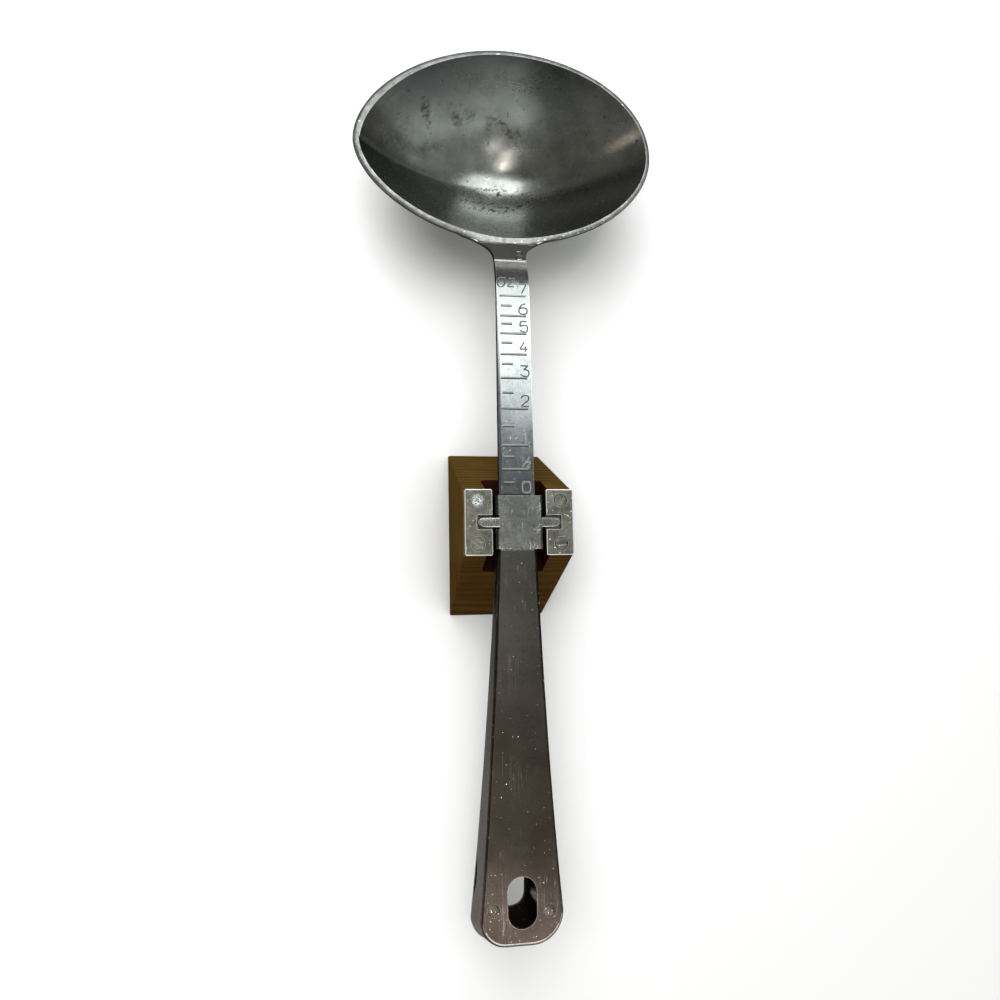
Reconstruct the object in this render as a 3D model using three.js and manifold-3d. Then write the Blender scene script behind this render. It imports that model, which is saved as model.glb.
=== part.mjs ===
import * as THREE from 'three';
import { mergeVertices } from 'three/addons/utils/BufferGeometryUtils.js';
import Module from 'manifold-3d';

const wasm = await Module();
wasm.setup();

// Weighing spoon on its wooden stand, in millimetres.
// The spoon slides through a sleeve, and the sleeve's two tongues rock on notched plates.
// +Y points to the bowl, +X to the right and +Z up.
// The origin lies on the table, straight under the rocking edge of the tongues.

// Wooden stand
const blockHeight = 61.8;
const blockBaseLength = 74.6;
const blockSideMargin = 0.4;
const blockEndMargin = 0.2;
const saddleDepth = 15.5;
const saddleCorner = 2.6;

// Bearing plates
const plateLength = 26.8;
const plateWidth = 11.3;
const plateThickness = 3.2;
const plateCorner = 0.8;
const plateSideGap = 0.7;
const plateOverhang = 1.8;
const notchSideGap = 1;
const notchTipGap = 0.5;
const notchCorner = 0.7;

// Wood screws
const screwHeadDiameter = 5.3;
const screwHeadHeight = 1.6;
const screwShankDiameter = 2.9;
const screwLength = 19;
const screwPoint = 4;
const screwSlotWidth = 0.9;
const screwSlotDepth = 0.7;
const screwEndInset = 4.6;
const screwOffset = 0.45;

// Sliding sleeve and its tongues
const sleeveLength = 21.6;
const sleeveSheet = 1.1;
const sleeveBend = 1.9;
const sleeveLip = 5;
const tongueLength = 6.6;
const tongueWidth = 3.8;
const tongueBevel = 0.7;
const tongueRelief = 1;

// Brake spring between the sleeve's right wall and the beam
const springThickness = 0.4;
const springHeight = 2.6;
const springLength = 18;
const springRoom = 1.9;

// Beam, from the handle to the bowl
const beamWidth = 16;
const beamNeckWidth = 14.4;
const beamThickness = 3.2;
const tangLength = 44;
const bendLength = 20;
const bendDrop = 8.5;
const neckLength = 8.5;
const neckFlare = 16.5;
const scaleLineWidth = 0.5;
const scaleLineDepth = 0.25;
const scaleLineEdge = 2.2;
const scaleLineEnd = 1.2;
const halfLineLength = 5.2;
const wholeLines = [10.8, 20.7, 36, 48.8, 58.8, 67.6, 75.1, 83.7];
const halfLines = [5.3, 15.9, 28.7, 42.6, 54.7, 63.6, 71.7, 79.4];

// Bowl
const bowlReach = 163.5;
const bowlHalfWidth = 63.2;
const bowlNear = 40.8;
const bowlFar = 42.3;
const bowlDepth = 40;
const bowlWall = 2.1;
const bowlNearLeftPower = 1.76;
const bowlNearRightPower = 1.93;
const bowlFarLeftPower = 1.84;
const bowlFarRightPower = 2.04;
const bowlFullness = 2.2;
const rimWidth = 2.2;
const rimHeight = 1.9;
const rimRound = 0.6;

// Hollow handle
const handleLength = 152;
const handleEndWidth = 32.2;
const handleEndCorner = 13;
const handleFlareLength = 86;
const handleFlareWidth = 22.4;
const handleFrontThickness = 5.8;
const handleTaper = 0.149;
const handleSheet = 1.2;
const handleBend = 1.2;
const handleLean = 0.24;
const coverSheet = 1.4;
const hangSlotWidth = 12;
const hangSlotLength = 19.6;
const hangSlotInset = 5.6;
const sideSlitLength = 18;
const sideSlitHeight = 5;
const sideSlitInset = 13;

// Handle rivets, their spacer tubes and the balance weight
const endRivetDiameter = 3.4;
const endRivetHead = 4.6;
const endRivetSink = 0.6;
const endRivetInset = 12.4;
const spacerWall = 0.9;
const tangRivetDiameter = 3;
const tangRivetHead = 5;
const tangRivetHeadHeight = 0.9;
const tangRivetDepth = 2;
const tangRivetInset = 11;
const tangRivetSpacing = 18;
const weightLength = 30;
const weightHeight = 11.6;
const weightSlotGap = 5.8;

// Running and assembly clearances
const runGap = 0.25;
const rockGap = 0.3;
const fitGap = 0.3;
const seamGap = 0.15;
const overcut = 20;

// Levels and places that follow from the sizes above
const sleeveWidth = beamWidth + 2 * runGap + springRoom + 2 * sleeveSheet;
const plateTop = blockHeight + plateThickness;
const plateInner = sleeveWidth / 2 + plateSideGap;
const plateMiddle = plateInner + plateWidth / 2;
const plateOuter = plateInner + plateWidth;
const blockTopLength = plateLength + 2 * blockEndMargin;
const tongueReach = sleeveWidth / 2 + tongueLength;
const notchDepth = sleeveSheet + rockGap;
const beamTop = plateTop - sleeveSheet - runGap;
const beamBottom = beamTop - beamThickness;
const sleeveHeight = 2 * sleeveSheet + 2 * runGap + beamThickness;
const sleeveInner = sleeveWidth / 2 - sleeveSheet;
const beamOffset = beamWidth / 2 + runGap - sleeveInner;
const rimTop = beamTop - bendDrop;
const nearRim = bowlReach - bowlNear - rimWidth;
const handleTop = beamTop + handleSheet;
const handleFront = -sleeveLength / 2 - fitGap;
const handleEnd = handleFront - handleLength;
const hangSlotMiddle = handleEnd + hangSlotInset + hangSlotLength / 2;
const tangWidth = beamWidth - 2 * handleSheet - 2 * fitGap;
const throughHeight = 2 * plateTop;

const curveSteps = 5;
const edgeSteps = 2;
const shellEdgeSteps = 3;
const roundSteps = 20;
const slitSteps = 40;
const ovalSteps = 56;
const domeSteps = 10;

const axisX = new THREE.Vector3(1, 0, 0);
const axisY = new THREE.Vector3(0, 1, 0);
const axisZ = new THREE.Vector3(0, 0, 1);

// Solids from closed geometry, for joining and cutting
function solid(geometry) {
  geometry.deleteAttribute('normal');
  geometry.deleteAttribute('uv');
  const merged = mergeVertices(geometry);
  return new wasm.Manifold(new wasm.Mesh({
    numProp: 3,
    vertProperties: new Float32Array(merged.attributes.position.array),
    triVerts: new Uint32Array(merged.index.array),
  }));
}

function geometryOf(body) {
  const mesh = body.getMesh();
  const geometry = new THREE.BufferGeometry();
  geometry.setAttribute('position', new THREE.BufferAttribute(mesh.vertProperties, 3));
  geometry.setIndex(new THREE.BufferAttribute(mesh.triVerts, 1));
  geometry.computeVertexNormals();
  return geometry;
}

function extrude(shape, depth, rounding = 0, roundingSteps = edgeSteps) {
  return new THREE.ExtrudeGeometry(shape, {
    depth: depth - 2 * rounding,
    curveSegments: curveSteps,
    bevelEnabled: rounding > 0,
    bevelSize: rounding,
    bevelOffset: -rounding,
    bevelThickness: rounding,
    bevelSegments: roundingSteps,
  }).translate(0, 0, rounding);
}

// A plan outline drawn in X and Y, raised between two levels
function upright(shape, bottom, top, rounding, roundingSteps) {
  return solid(extrude(shape, top - bottom, rounding, roundingSteps).translate(0, 0, bottom));
}

// A side outline drawn in Y and Z, run across the object
function across(shape, width) {
  const turn = new THREE.Matrix4().makeBasis(axisY, axisZ, axisX);
  return solid(extrude(shape, width).translate(0, 0, -width / 2).applyMatrix4(turn));
}

// An end outline drawn in X and Z, run along the object
function along(shape, length) {
  const turn = new THREE.Matrix4().makeBasis(axisX, axisZ, axisY.clone().negate());
  return solid(extrude(shape, length).translate(0, 0, -length / 2).applyMatrix4(turn));
}

function box(width, length, height, x, y, z) {
  return solid(new THREE.BoxGeometry(width, length, height).translate(x, y, z));
}

function pillar(diameter, bottom, top, x, y) {
  const post = new THREE.CylinderGeometry(diameter / 2, diameter / 2, top - bottom, roundSteps);
  return solid(post.rotateX(Math.PI / 2).translate(x, y, (bottom + top) / 2));
}

function turned(profile, x, y, z) {
  const points = profile.map(([radius, height]) => new THREE.Vector2(radius, height));
  return solid(new THREE.LatheGeometry(points, roundSteps).rotateX(Math.PI / 2).translate(x, y, z));
}

function roundedRectangle(left, bottom, right, top, radius) {
  const shape = new THREE.Shape();
  shape.absarc(right - radius, bottom + radius, radius, -Math.PI / 2, 0);
  shape.absarc(right - radius, top - radius, radius, 0, Math.PI / 2);
  shape.absarc(left + radius, top - radius, radius, Math.PI / 2, Math.PI);
  shape.absarc(left + radius, bottom + radius, radius, Math.PI, 1.5 * Math.PI);
  return shape;
}

// Materials, one for each finish
function finish(color, roughness, metalness) {
  return () => new THREE.MeshStandardMaterial({ color, roughness, metalness });
}

const varnishedWood = finish(0x6e5230, 0.5, 0);
const wornSteel = finish(0x85857c, 0.42, 1);
const brightScrew = finish(0xb9bfc0, 0.3, 1);
const agedAluminium = finish(0x8b8d89, 0.36, 1);
const brownedAluminium = finish(0x6d665d, 0.4, 1);
const springSteel = finish(0x6f7276, 0.35, 1);
const castIron = finish(0x3d3c3a, 0.75, 0.6);

const spoon = new THREE.Group();
const slider = new THREE.Group();
const stand = new THREE.Group();
const weighingSpoon = new THREE.Group();
weighingSpoon.add(stand, slider, spoon);
spoon.position.x = beamOffset;

function addPiece(parent, name, body, material) {
  const mesh = new THREE.Mesh(geometryOf(body), material());
  mesh.name = name;
  parent.add(mesh);
}

// Stand: a roof-shaped block with a saddle cut through its top
const screwPlaces = [];
for (const [side, sideX] of [['left', -1], ['right', 1]]) {
  for (const [end, endY] of [['bowl', 1], ['handle', -1]]) {
    const name = `plate_screw_${side}_${end}_side`;
    const x = sideX * (plateMiddle + screwOffset);
    const y = endY * (plateLength / 2 - screwEndInset);
    screwPlaces.push({ name, side, end, x, y });
  }
}

const screwTip = plateTop - screwLength;
const pilotDiameter = screwShankDiameter + 2 * fitGap;

function standBlock() {
  const roof = new THREE.Shape();
  roof.moveTo(-blockBaseLength / 2, 0);
  roof.lineTo(blockBaseLength / 2, 0);
  roof.lineTo(blockTopLength / 2, blockHeight);
  roof.lineTo(-blockTopLength / 2, blockHeight);
  roof.closePath();
  const saddleHalf = plateInner + plateOverhang;
  const floor = blockHeight - saddleDepth;
  const saddle = roundedRectangle(-saddleHalf, floor, saddleHalf, blockHeight + overcut, saddleCorner);
  let block = across(roof, 2 * (plateOuter + blockSideMargin));
  block = block.subtract(along(saddle, blockBaseLength));
  for (const { x, y } of screwPlaces) {
    block = block.subtract(pillar(pilotDiameter, screwTip - fitGap, blockHeight + overcut, x, y));
  }
  return block;
}

// Bearing plate: a flat steel strip with a shallow notch for the tongue and two sunk screw holes
function bearingPlate(sideX, side) {
  const half = plateLength / 2;
  const outline = roundedRectangle(plateInner, -half, plateOuter, half, plateCorner);
  const notchHalf = tongueWidth / 2 + notchSideGap;
  const notchEnd = tongueReach + notchTipGap;
  const notch = roundedRectangle(plateInner - overcut, -notchHalf, notchEnd, notchHalf, notchCorner);
  let plate = upright(outline, blockHeight, plateTop);
  plate = plate.subtract(upright(notch, plateTop - notchDepth, plateTop + overcut));
  const facing = new THREE.Matrix4().makeRotationZ(sideX < 0 ? Math.PI : 0);
  plate = plate.transform(facing.elements);
  for (const place of screwPlaces.filter((item) => item.side === side)) {
    plate = plate.subtract(screwRoom(place.x, place.y));
  }
  return plate;
}

function screwRoom(x, y) {
  const head = screwHeadDiameter / 2 + fitGap;
  const shank = pilotDiameter / 2;
  const drop = screwHeadHeight + fitGap;
  return turned([[0, -drop - plateThickness], [shank, -drop - plateThickness], [shank, -drop],
    [head, 0], [head, overcut], [0, overcut]], x, y, plateTop);
}

// Countersunk wood screw; the one replaced at some time has a cross recess
function woodScrew(x, y, crossed) {
  const head = screwHeadDiameter / 2;
  const shank = screwShankDiameter / 2;
  let screw = turned([[0, -screwLength], [shank, screwPoint - screwLength], [shank, -screwHeadHeight],
    [head, 0], [0, 0]], x, y, plateTop);
  const slotLength = crossed ? screwShankDiameter : screwHeadDiameter + fitGap;
  const slotMiddle = plateTop - screwSlotDepth / 2 + overcut / 2;
  const slotHeight = screwSlotDepth + overcut;
  screw = screw.subtract(box(slotLength, screwSlotWidth, slotHeight, x, y, slotMiddle));
  if (crossed) {
    screw = screw.subtract(box(screwSlotWidth, slotLength, slotHeight, x, y, slotMiddle));
  }
  return screw;
}

addPiece(stand, 'stand_block', standBlock(), varnishedWood);
addPiece(stand, 'bearing_plate_left', bearingPlate(-1, 'left'), wornSteel);
addPiece(stand, 'bearing_plate_right', bearingPlate(1, 'right'), wornSteel);
for (const { name, side, end, x, y } of screwPlaces) {
  const replaced = side === 'left' && end === 'bowl';
  addPiece(stand, name, woodScrew(x, y, replaced), replaced ? brightScrew : wornSteel);
}

// Sleeve: sheet folded round the beam, with a tongue left flat on each side
function sleeveSection() {
  const right = sleeveWidth / 2;
  const inner = sleeveInner;
  const bottom = plateTop - sleeveHeight;
  const bend = sleeveBend;
  const innerBend = sleeveBend - sleeveSheet;
  const outerX = right - bend;
  const lipX = right - sleeveLip;
  const quarter = Math.PI / 2;
  const shape = new THREE.Shape();
  shape.moveTo(lipX, bottom);
  shape.lineTo(outerX, bottom);
  shape.absarc(outerX, bottom + bend, bend, -quarter, 0);
  shape.absarc(outerX, plateTop - bend, bend, 0, quarter);
  shape.absarc(-outerX, plateTop - bend, bend, quarter, 2 * quarter);
  shape.absarc(-outerX, bottom + bend, bend, 2 * quarter, 3 * quarter);
  shape.lineTo(-lipX, bottom);
  shape.lineTo(-lipX, bottom + sleeveSheet);
  shape.absarc(-inner + innerBend, bottom + bend, innerBend, 3 * quarter, 2 * quarter, true);
  shape.absarc(-inner + innerBend, plateTop - bend, innerBend, 2 * quarter, quarter, true);
  shape.absarc(inner - innerBend, plateTop - bend, innerBend, quarter, 0, true);
  shape.absarc(inner - innerBend, bottom + bend, innerBend, 0, -quarter, true);
  shape.lineTo(lipX, bottom + sleeveSheet);
  shape.closePath();
  return shape;
}

function tongue(sideX) {
  const half = tongueWidth / 2;
  const root = sleeveWidth / 2 - sleeveBend - tongueRelief;
  const section = new THREE.Shape();
  section.moveTo(0, plateTop - sleeveSheet);
  section.lineTo(half, plateTop - tongueBevel / 2);
  section.lineTo(half - tongueBevel, plateTop);
  section.lineTo(tongueBevel - half, plateTop);
  section.lineTo(-half, plateTop - tongueBevel / 2);
  section.closePath();
  const plan = new THREE.Shape();
  plan.moveTo(sideX * root, -half);
  plan.lineTo(sideX * (tongueReach - half), -half);
  plan.absarc(sideX * (tongueReach - half), 0, half, -Math.PI / 2, Math.PI / 2, sideX < 0);
  plan.lineTo(sideX * root, half);
  plan.closePath();
  const outline = upright(plan, plateTop - overcut, plateTop + overcut);
  return across(section, 2 * tongueReach).intersect(outline);
}

const windowLength = tongueWidth + 2 * tongueRelief;

function slidingSleeve() {
  const flatEdge = sleeveWidth / 2 - sleeveBend;
  let sleeve = along(sleeveSection(), sleeveLength);
  for (const sideX of [-1, 1]) {
    const windowMiddle = sideX * (flatEdge + overcut / 2);
    sleeve = sleeve.subtract(box(overcut, windowLength, throughHeight, windowMiddle, 0, plateTop));
    sleeve = sleeve.add(tongue(sideX));
  }
  return sleeve;
}

// Bow spring: its back sits in the window under the right tongue and its ends press on the beam
function brakeSpring() {
  const endFace = beamOffset + beamWidth / 2 + seamGap;
  const backFace = sleeveInner - seamGap - springThickness;
  const windowHalf = windowLength / 2;
  const endHalf = springLength / 2;
  const radius = (endHalf ** 2 - windowHalf ** 2) / (2 * (backFace - endFace));
  const centre = backFace + windowHalf ** 2 / (2 * radius) - radius;
  const angle = Math.asin(endHalf / radius);
  const bow = new THREE.Shape();
  bow.absarc(centre, 0, radius + springThickness, -angle, angle);
  bow.absarc(centre, 0, radius, angle, -angle, true);
  bow.closePath();
  const middle = beamTop - beamThickness / 2;
  return upright(bow, middle - springHeight / 2, middle + springHeight / 2);
}

addPiece(slider, 'slider_sleeve', slidingSleeve(), wornSteel);
addPiece(slider, 'slider_spring', brakeSpring(), springSteel);

// Outline of the bowl, seen from above: an oval whose quarters differ in fullness
function ovalPoint(angle, grow) {
  const aside = Math.cos(angle);
  const ahead = Math.sin(angle);
  const nearPower = aside < 0 ? bowlNearLeftPower : bowlNearRightPower;
  const farPower = aside < 0 ? bowlFarLeftPower : bowlFarRightPower;
  const power = ahead < 0 ? nearPower : farPower;
  const reach = (ahead < 0 ? bowlNear : bowlFar) + grow;
  const x = Math.sign(aside) * Math.abs(aside) ** (2 / power) * (bowlHalfWidth + grow);
  const y = Math.sign(ahead) * Math.abs(ahead) ** (2 / power) * reach;
  return new THREE.Vector2(x, y);
}

// The near rim's distance along Y at a given distance from the middle
function nearRimAt(x, grow, power) {
  const share = (x / (bowlHalfWidth + grow)) ** power;
  return bowlReach - (bowlNear + grow) * (1 - share) ** (1 / power);
}

function ovalShape(grow) {
  const points = [];
  for (let step = 0; step < ovalSteps; step += 1) {
    points.push(ovalPoint(2 * Math.PI * step / ovalSteps, grow).add(new THREE.Vector2(0, bowlReach)));
  }
  return new THREE.Shape(points);
}

// A dome turned with a radius of one, then stretched to the oval
function ovalDome(grow, lid) {
  const points = [];
  for (let step = 0; step <= domeSteps; step += 1) {
    const radius = step / domeSteps;
    points.push(new THREE.Vector2(radius, -(bowlDepth + grow) * (1 - radius ** bowlFullness)));
  }
  points.push(new THREE.Vector2(lid > 0 ? 1 : 0, lid));
  if (lid > 0) {
    points.push(new THREE.Vector2(0, lid));
  }
  const dome = new THREE.LatheGeometry(points, ovalSteps).rotateX(Math.PI / 2);
  const position = dome.attributes.position;
  for (let index = 0; index < position.count; index += 1) {
    const x = position.getX(index);
    const y = position.getY(index);
    const spot = ovalPoint(Math.atan2(y, x), grow).multiplyScalar(Math.hypot(x, y));
    position.setXY(index, spot.x, spot.y);
  }
  return solid(dome.translate(0, bowlReach, rimTop));
}

// Side view of beam and neck: straight, then a double bend down to the rim
function beamSide() {
  const bendEnd = nearRim;
  const bendStart = bendEnd - bendLength;
  const bendMiddle = (bendStart + bendEnd) / 2;
  const inside = nearRim + rimWidth + overcut;
  const rimBottom = rimTop - beamThickness;
  const shape = new THREE.Shape();
  shape.moveTo(handleFront, beamTop);
  shape.lineTo(handleFront, beamBottom);
  shape.lineTo(bendStart, beamBottom);
  shape.bezierCurveTo(bendMiddle, beamBottom, bendMiddle, rimBottom, bendEnd, rimBottom);
  shape.lineTo(inside, rimBottom);
  shape.lineTo(inside, rimTop);
  shape.lineTo(bendEnd, rimTop);
  shape.bezierCurveTo(bendMiddle, rimTop, bendMiddle, beamTop, bendStart, beamTop);
  shape.closePath();
  return shape;
}

// Plan of beam and neck: slightly tapered, then flared into the rim
function beamPlan() {
  const half = beamWidth / 2;
  const neck = beamNeckWidth / 2;
  const flareX = neck + neckFlare;
  const flareStart = nearRim - neckLength;
  const leftEnd = nearRimAt(flareX, rimWidth, bowlNearLeftPower) + rimRound;
  const rightEnd = nearRimAt(flareX, rimWidth, bowlNearRightPower) + rimRound;
  const cornerY = nearRim + rimRound;
  const inside = leftEnd + overcut;
  const shape = new THREE.Shape();
  shape.moveTo(-half, handleFront);
  shape.lineTo(half, handleFront);
  shape.lineTo(neck, flareStart);
  shape.quadraticCurveTo(neck, cornerY, flareX, rightEnd);
  shape.lineTo(flareX, inside);
  shape.lineTo(-flareX, inside);
  shape.lineTo(-flareX, leftEnd);
  shape.quadraticCurveTo(-neck, cornerY, -neck, flareStart);
  shape.closePath();
  return shape;
}

// The underside of the handle's cover falls evenly from the front to the end
function coverLevel(y) {
  return handleTop - handleFrontThickness - handleTaper * (handleFront - y);
}

// The space between two levels that run along the cover
function coverLayer(low, high) {
  const front = handleFront + overcut;
  const end = handleEnd - overcut;
  const shape = new THREE.Shape();
  shape.moveTo(end, coverLevel(end) + low);
  shape.lineTo(front, coverLevel(front) + low);
  shape.lineTo(front, coverLevel(front) + high);
  shape.lineTo(end, coverLevel(end) + high);
  shape.closePath();
  return across(shape, handleEndWidth + overcut);
}

const coverInside = coverSheet + fitGap;
const aboveAll = handleFrontThickness + handleTaper * handleLength + overcut;

const tangRivetPlaces = [
  { name: 'tang_rivet_front', y: handleFront - tangRivetInset },
  { name: 'tang_rivet_rear', y: handleFront - tangRivetInset - tangRivetSpacing },
];

function tang() {
  const length = tangLength + fitGap;
  const middle = handleFront + fitGap - length / 2;
  const blank = box(tangWidth, length, aboveAll, 0, middle, beamTop - aboveAll / 2);
  let wedge = blank.intersect(coverLayer(coverInside, aboveAll));
  for (const { y } of tangRivetPlaces) {
    const hole = tangRivetDiameter + 2 * fitGap;
    wedge = wedge.subtract(pillar(hole, beamBottom - overcut, tangRivetTop(y) + fitGap, 0, y));
  }
  return wedge;
}

function tangRivetTop(y) {
  return coverLevel(y) + coverInside + tangRivetDepth;
}

// Bowl, neck, beam and tang are one casting
function bowlAndBeam() {
  const strip = across(beamSide(), 2 * bowlHalfWidth).intersect(
    upright(beamPlan(), rimTop - overcut, beamTop + overcut),
  );
  const rim = upright(ovalShape(rimWidth), rimTop - rimHeight, rimTop, rimRound);
  let casting = ovalDome(bowlWall, 0).add(rim).add(strip).subtract(ovalDome(0, overcut)).add(tang());
  const zero = sleeveLength / 2;
  const lineStart = scaleLineEdge - beamWidth / 2;
  const wholeLineLength = beamWidth - scaleLineEdge - scaleLineEnd;
  const depth = 2 * scaleLineDepth;
  for (const [lines, length] of [[wholeLines, wholeLineLength], [halfLines, halfLineLength]]) {
    const middle = lineStart + length / 2;
    for (const distance of lines) {
      casting = casting.subtract(box(length, scaleLineWidth, depth, middle, zero + distance, beamTop));
    }
  }
  return casting;
}

// Plan of the handle, drawn in by the given amount and run on in front of its mouth
function handlePlan(inset, frontRun) {
  const front = beamWidth / 2 - inset;
  const flare = handleFlareWidth / 2 - inset;
  const wide = handleEndWidth / 2 - inset;
  const corner = handleEndCorner - inset;
  const end = handleEnd + inset;
  const flareY = handleFront - handleFlareLength;
  const cornerY = end + corner;
  const shape = new THREE.Shape();
  shape.moveTo(front, handleFront + frontRun);
  shape.lineTo(-front, handleFront + frontRun);
  shape.lineTo(-front, handleFront);
  shape.quadraticCurveTo(-flare, flareY, -wide, cornerY);
  shape.absarc(corner - wide, cornerY, corner, Math.PI, 1.5 * Math.PI);
  shape.absarc(wide - corner, cornerY, corner, 1.5 * Math.PI, 2 * Math.PI);
  shape.quadraticCurveTo(flare, flareY, front, handleFront);
  shape.closePath();
  return shape;
}

// The handle's walls lean towards its end on the way down, most plainly at the end wall
function leaning(body) {
  const lean = new THREE.Matrix4();
  lean.set(1, 0, 0, 0, 0, 1, handleLean, -handleLean * handleTop, 0, 0, 1, 0, 0, 0, 0, 1);
  return body.transform(lean.elements);
}

// What lies behind the handle's mouth
function behindMouth() {
  const length = handleLength + overcut;
  return box(2 * handleEndWidth, length, throughHeight, 0, handleFront - length / 2, beamTop);
}

function hangSlot() {
  const half = hangSlotWidth / 2;
  const straight = hangSlotLength / 2 - half;
  const shape = new THREE.Shape();
  shape.absarc(0, hangSlotMiddle + straight, half, 0, Math.PI);
  shape.absarc(0, hangSlotMiddle - straight, half, Math.PI, 2 * Math.PI);
  shape.closePath();
  return upright(shape, coverLevel(handleEnd) - overcut, handleTop + overcut);
}

// A long low arch cut into the lower edge of both side walls near the end
function sideSlit() {
  const half = sideSlitLength / 2;
  const radius = (half ** 2 + sideSlitHeight ** 2) / (2 * sideSlitHeight);
  const y = handleEnd + sideSlitInset + half;
  const z = coverLevel(y) + coverSheet + sideSlitHeight - radius;
  const width = handleEndWidth + overcut;
  const drum = new THREE.CylinderGeometry(radius, radius, width, slitSteps);
  return solid(drum.rotateZ(Math.PI / 2).translate(0, y, z));
}

// The end rivets stand in the middle of the lands beside the hanging slot
const landMiddle = (hangSlotWidth + handleEndWidth) / 4;
const endRivetPlaces = [
  { side: 'left', x: -landMiddle },
  { side: 'right', x: landMiddle },
];
const endRivetY = handleEnd + endRivetInset;

function endRivetRoom(x, room) {
  const shank = endRivetDiameter / 2 + room;
  const head = endRivetHead / 2 + room;
  const length = handleTop - coverLevel(handleEnd) + overcut;
  const cap = room > 0 ? overcut : 0;
  const profile = [[0, -length], [shank, -length], [shank, -endRivetSink - room], [head, 0]];
  profile.push(...(cap > 0 ? [[head, cap], [0, cap]] : [[0, 0]]));
  return turned(profile, x, endRivetY, handleTop);
}

// Upper shell: a top with rounded edges and side walls down to the cover, open at the front
function handleTopShell() {
  const bottom = coverLevel(handleEnd) - overcut;
  const outer = upright(handlePlan(0, overcut), bottom, handleTop, handleBend, shellEdgeSteps);
  const inner = upright(handlePlan(handleSheet, overcut), bottom, beamTop);
  let shell = leaning(outer.subtract(inner)).intersect(behindMouth());
  shell = shell.intersect(coverLayer(coverSheet + seamGap, aboveAll));
  shell = shell.subtract(hangSlot()).subtract(sideSlit());
  for (const { x } of endRivetPlaces) {
    shell = shell.subtract(endRivetRoom(x, seamGap));
  }
  return shell;
}

function handleBottomCover() {
  const low = coverLevel(handleEnd) - overcut;
  let cover = leaning(upright(handlePlan(0, overcut), low, handleTop)).intersect(behindMouth());
  cover = cover.intersect(coverLayer(0, coverSheet));
  cover = cover.subtract(hangSlot());
  for (const { x } of endRivetPlaces) {
    cover = cover.subtract(endRivetRoom(x, seamGap));
  }
  for (const { y } of tangRivetPlaces) {
    cover = cover.subtract(pillar(tangRivetDiameter + 2 * fitGap, low, handleTop, 0, y));
  }
  return cover;
}

function endRivet(x) {
  return endRivetRoom(x, 0).intersect(coverLayer(0, aboveAll));
}

function rivetSpacer(x) {
  const low = coverLevel(handleEnd) - overcut;
  const boreDiameter = endRivetDiameter + 2 * fitGap;
  const tube = pillar(boreDiameter + 2 * spacerWall, low, beamTop, x, endRivetY);
  const bore = pillar(boreDiameter, low - overcut, beamTop + overcut, x, endRivetY);
  return tube.subtract(bore).intersect(handleInside(beamTop));
}

// The room inside the handle, clear of the side walls and the cover, up to a given level
function handleInside(top) {
  const room = upright(handlePlan(handleSheet + fitGap, 0), coverLevel(handleEnd) - overcut, top);
  return leaning(room).intersect(coverLayer(coverInside, aboveAll));
}

// A round-headed rivet through the cover into the tang, headed on the underside
function tangRivet(y) {
  const low = coverLevel(y) - overcut;
  const headBlank = pillar(tangRivetHead, low, handleTop, 0, y);
  const head = headBlank.intersect(coverLayer(-tangRivetHeadHeight, -seamGap));
  const shank = pillar(tangRivetDiameter, low, tangRivetTop(y), 0, y);
  return shank.intersect(coverLayer(-tangRivetHeadHeight, aboveAll)).add(head);
}

// Balance weight: a wedge lying on the cover, between the side walls
function balanceWeight() {
  const y = handleEnd + hangSlotInset + hangSlotLength + weightSlotGap + weightLength / 2;
  return handleInside(beamTop - fitGap)
    .intersect(box(handleEndWidth, weightLength, throughHeight, 0, y, beamTop))
    .intersect(coverLayer(coverInside, coverInside + weightHeight));
}

addPiece(spoon, 'bowl_and_beam', bowlAndBeam(), agedAluminium);
addPiece(spoon, 'handle_top_shell', handleTopShell(), brownedAluminium);
addPiece(spoon, 'handle_bottom_cover', handleBottomCover(), brownedAluminium);
for (const { side, x } of endRivetPlaces) {
  addPiece(spoon, `end_rivet_${side}`, endRivet(x), agedAluminium);
  addPiece(spoon, `rivet_spacer_${side}`, rivetSpacer(x), agedAluminium);
}
for (const { name, y } of tangRivetPlaces) {
  addPiece(spoon, name, tangRivet(y), agedAluminium);
}
addPiece(spoon, 'balance_weight', balanceWeight(), castIron);

export default weighingSpoon;
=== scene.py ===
import math
import bpy
import bmesh
from mathutils import Matrix, Vector


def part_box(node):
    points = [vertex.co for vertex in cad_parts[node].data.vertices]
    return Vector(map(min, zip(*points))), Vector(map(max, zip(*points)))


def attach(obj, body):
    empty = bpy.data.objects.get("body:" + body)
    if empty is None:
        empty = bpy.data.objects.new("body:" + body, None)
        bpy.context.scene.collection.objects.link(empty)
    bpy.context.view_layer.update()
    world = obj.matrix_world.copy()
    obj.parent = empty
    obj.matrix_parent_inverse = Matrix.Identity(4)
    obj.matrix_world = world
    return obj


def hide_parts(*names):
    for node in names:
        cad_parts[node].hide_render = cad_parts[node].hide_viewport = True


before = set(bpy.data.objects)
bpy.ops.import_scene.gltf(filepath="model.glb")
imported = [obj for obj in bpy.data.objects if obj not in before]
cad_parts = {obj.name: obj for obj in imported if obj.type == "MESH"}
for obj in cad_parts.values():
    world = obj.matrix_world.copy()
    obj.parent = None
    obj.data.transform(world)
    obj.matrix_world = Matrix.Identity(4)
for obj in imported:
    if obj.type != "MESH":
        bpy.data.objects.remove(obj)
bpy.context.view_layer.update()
mm = 0.001    # pieces are modelled in millimetres and made metres when they become objects


def boxOf(node):
    low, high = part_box(node)
    return low / mm, high / mm


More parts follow.
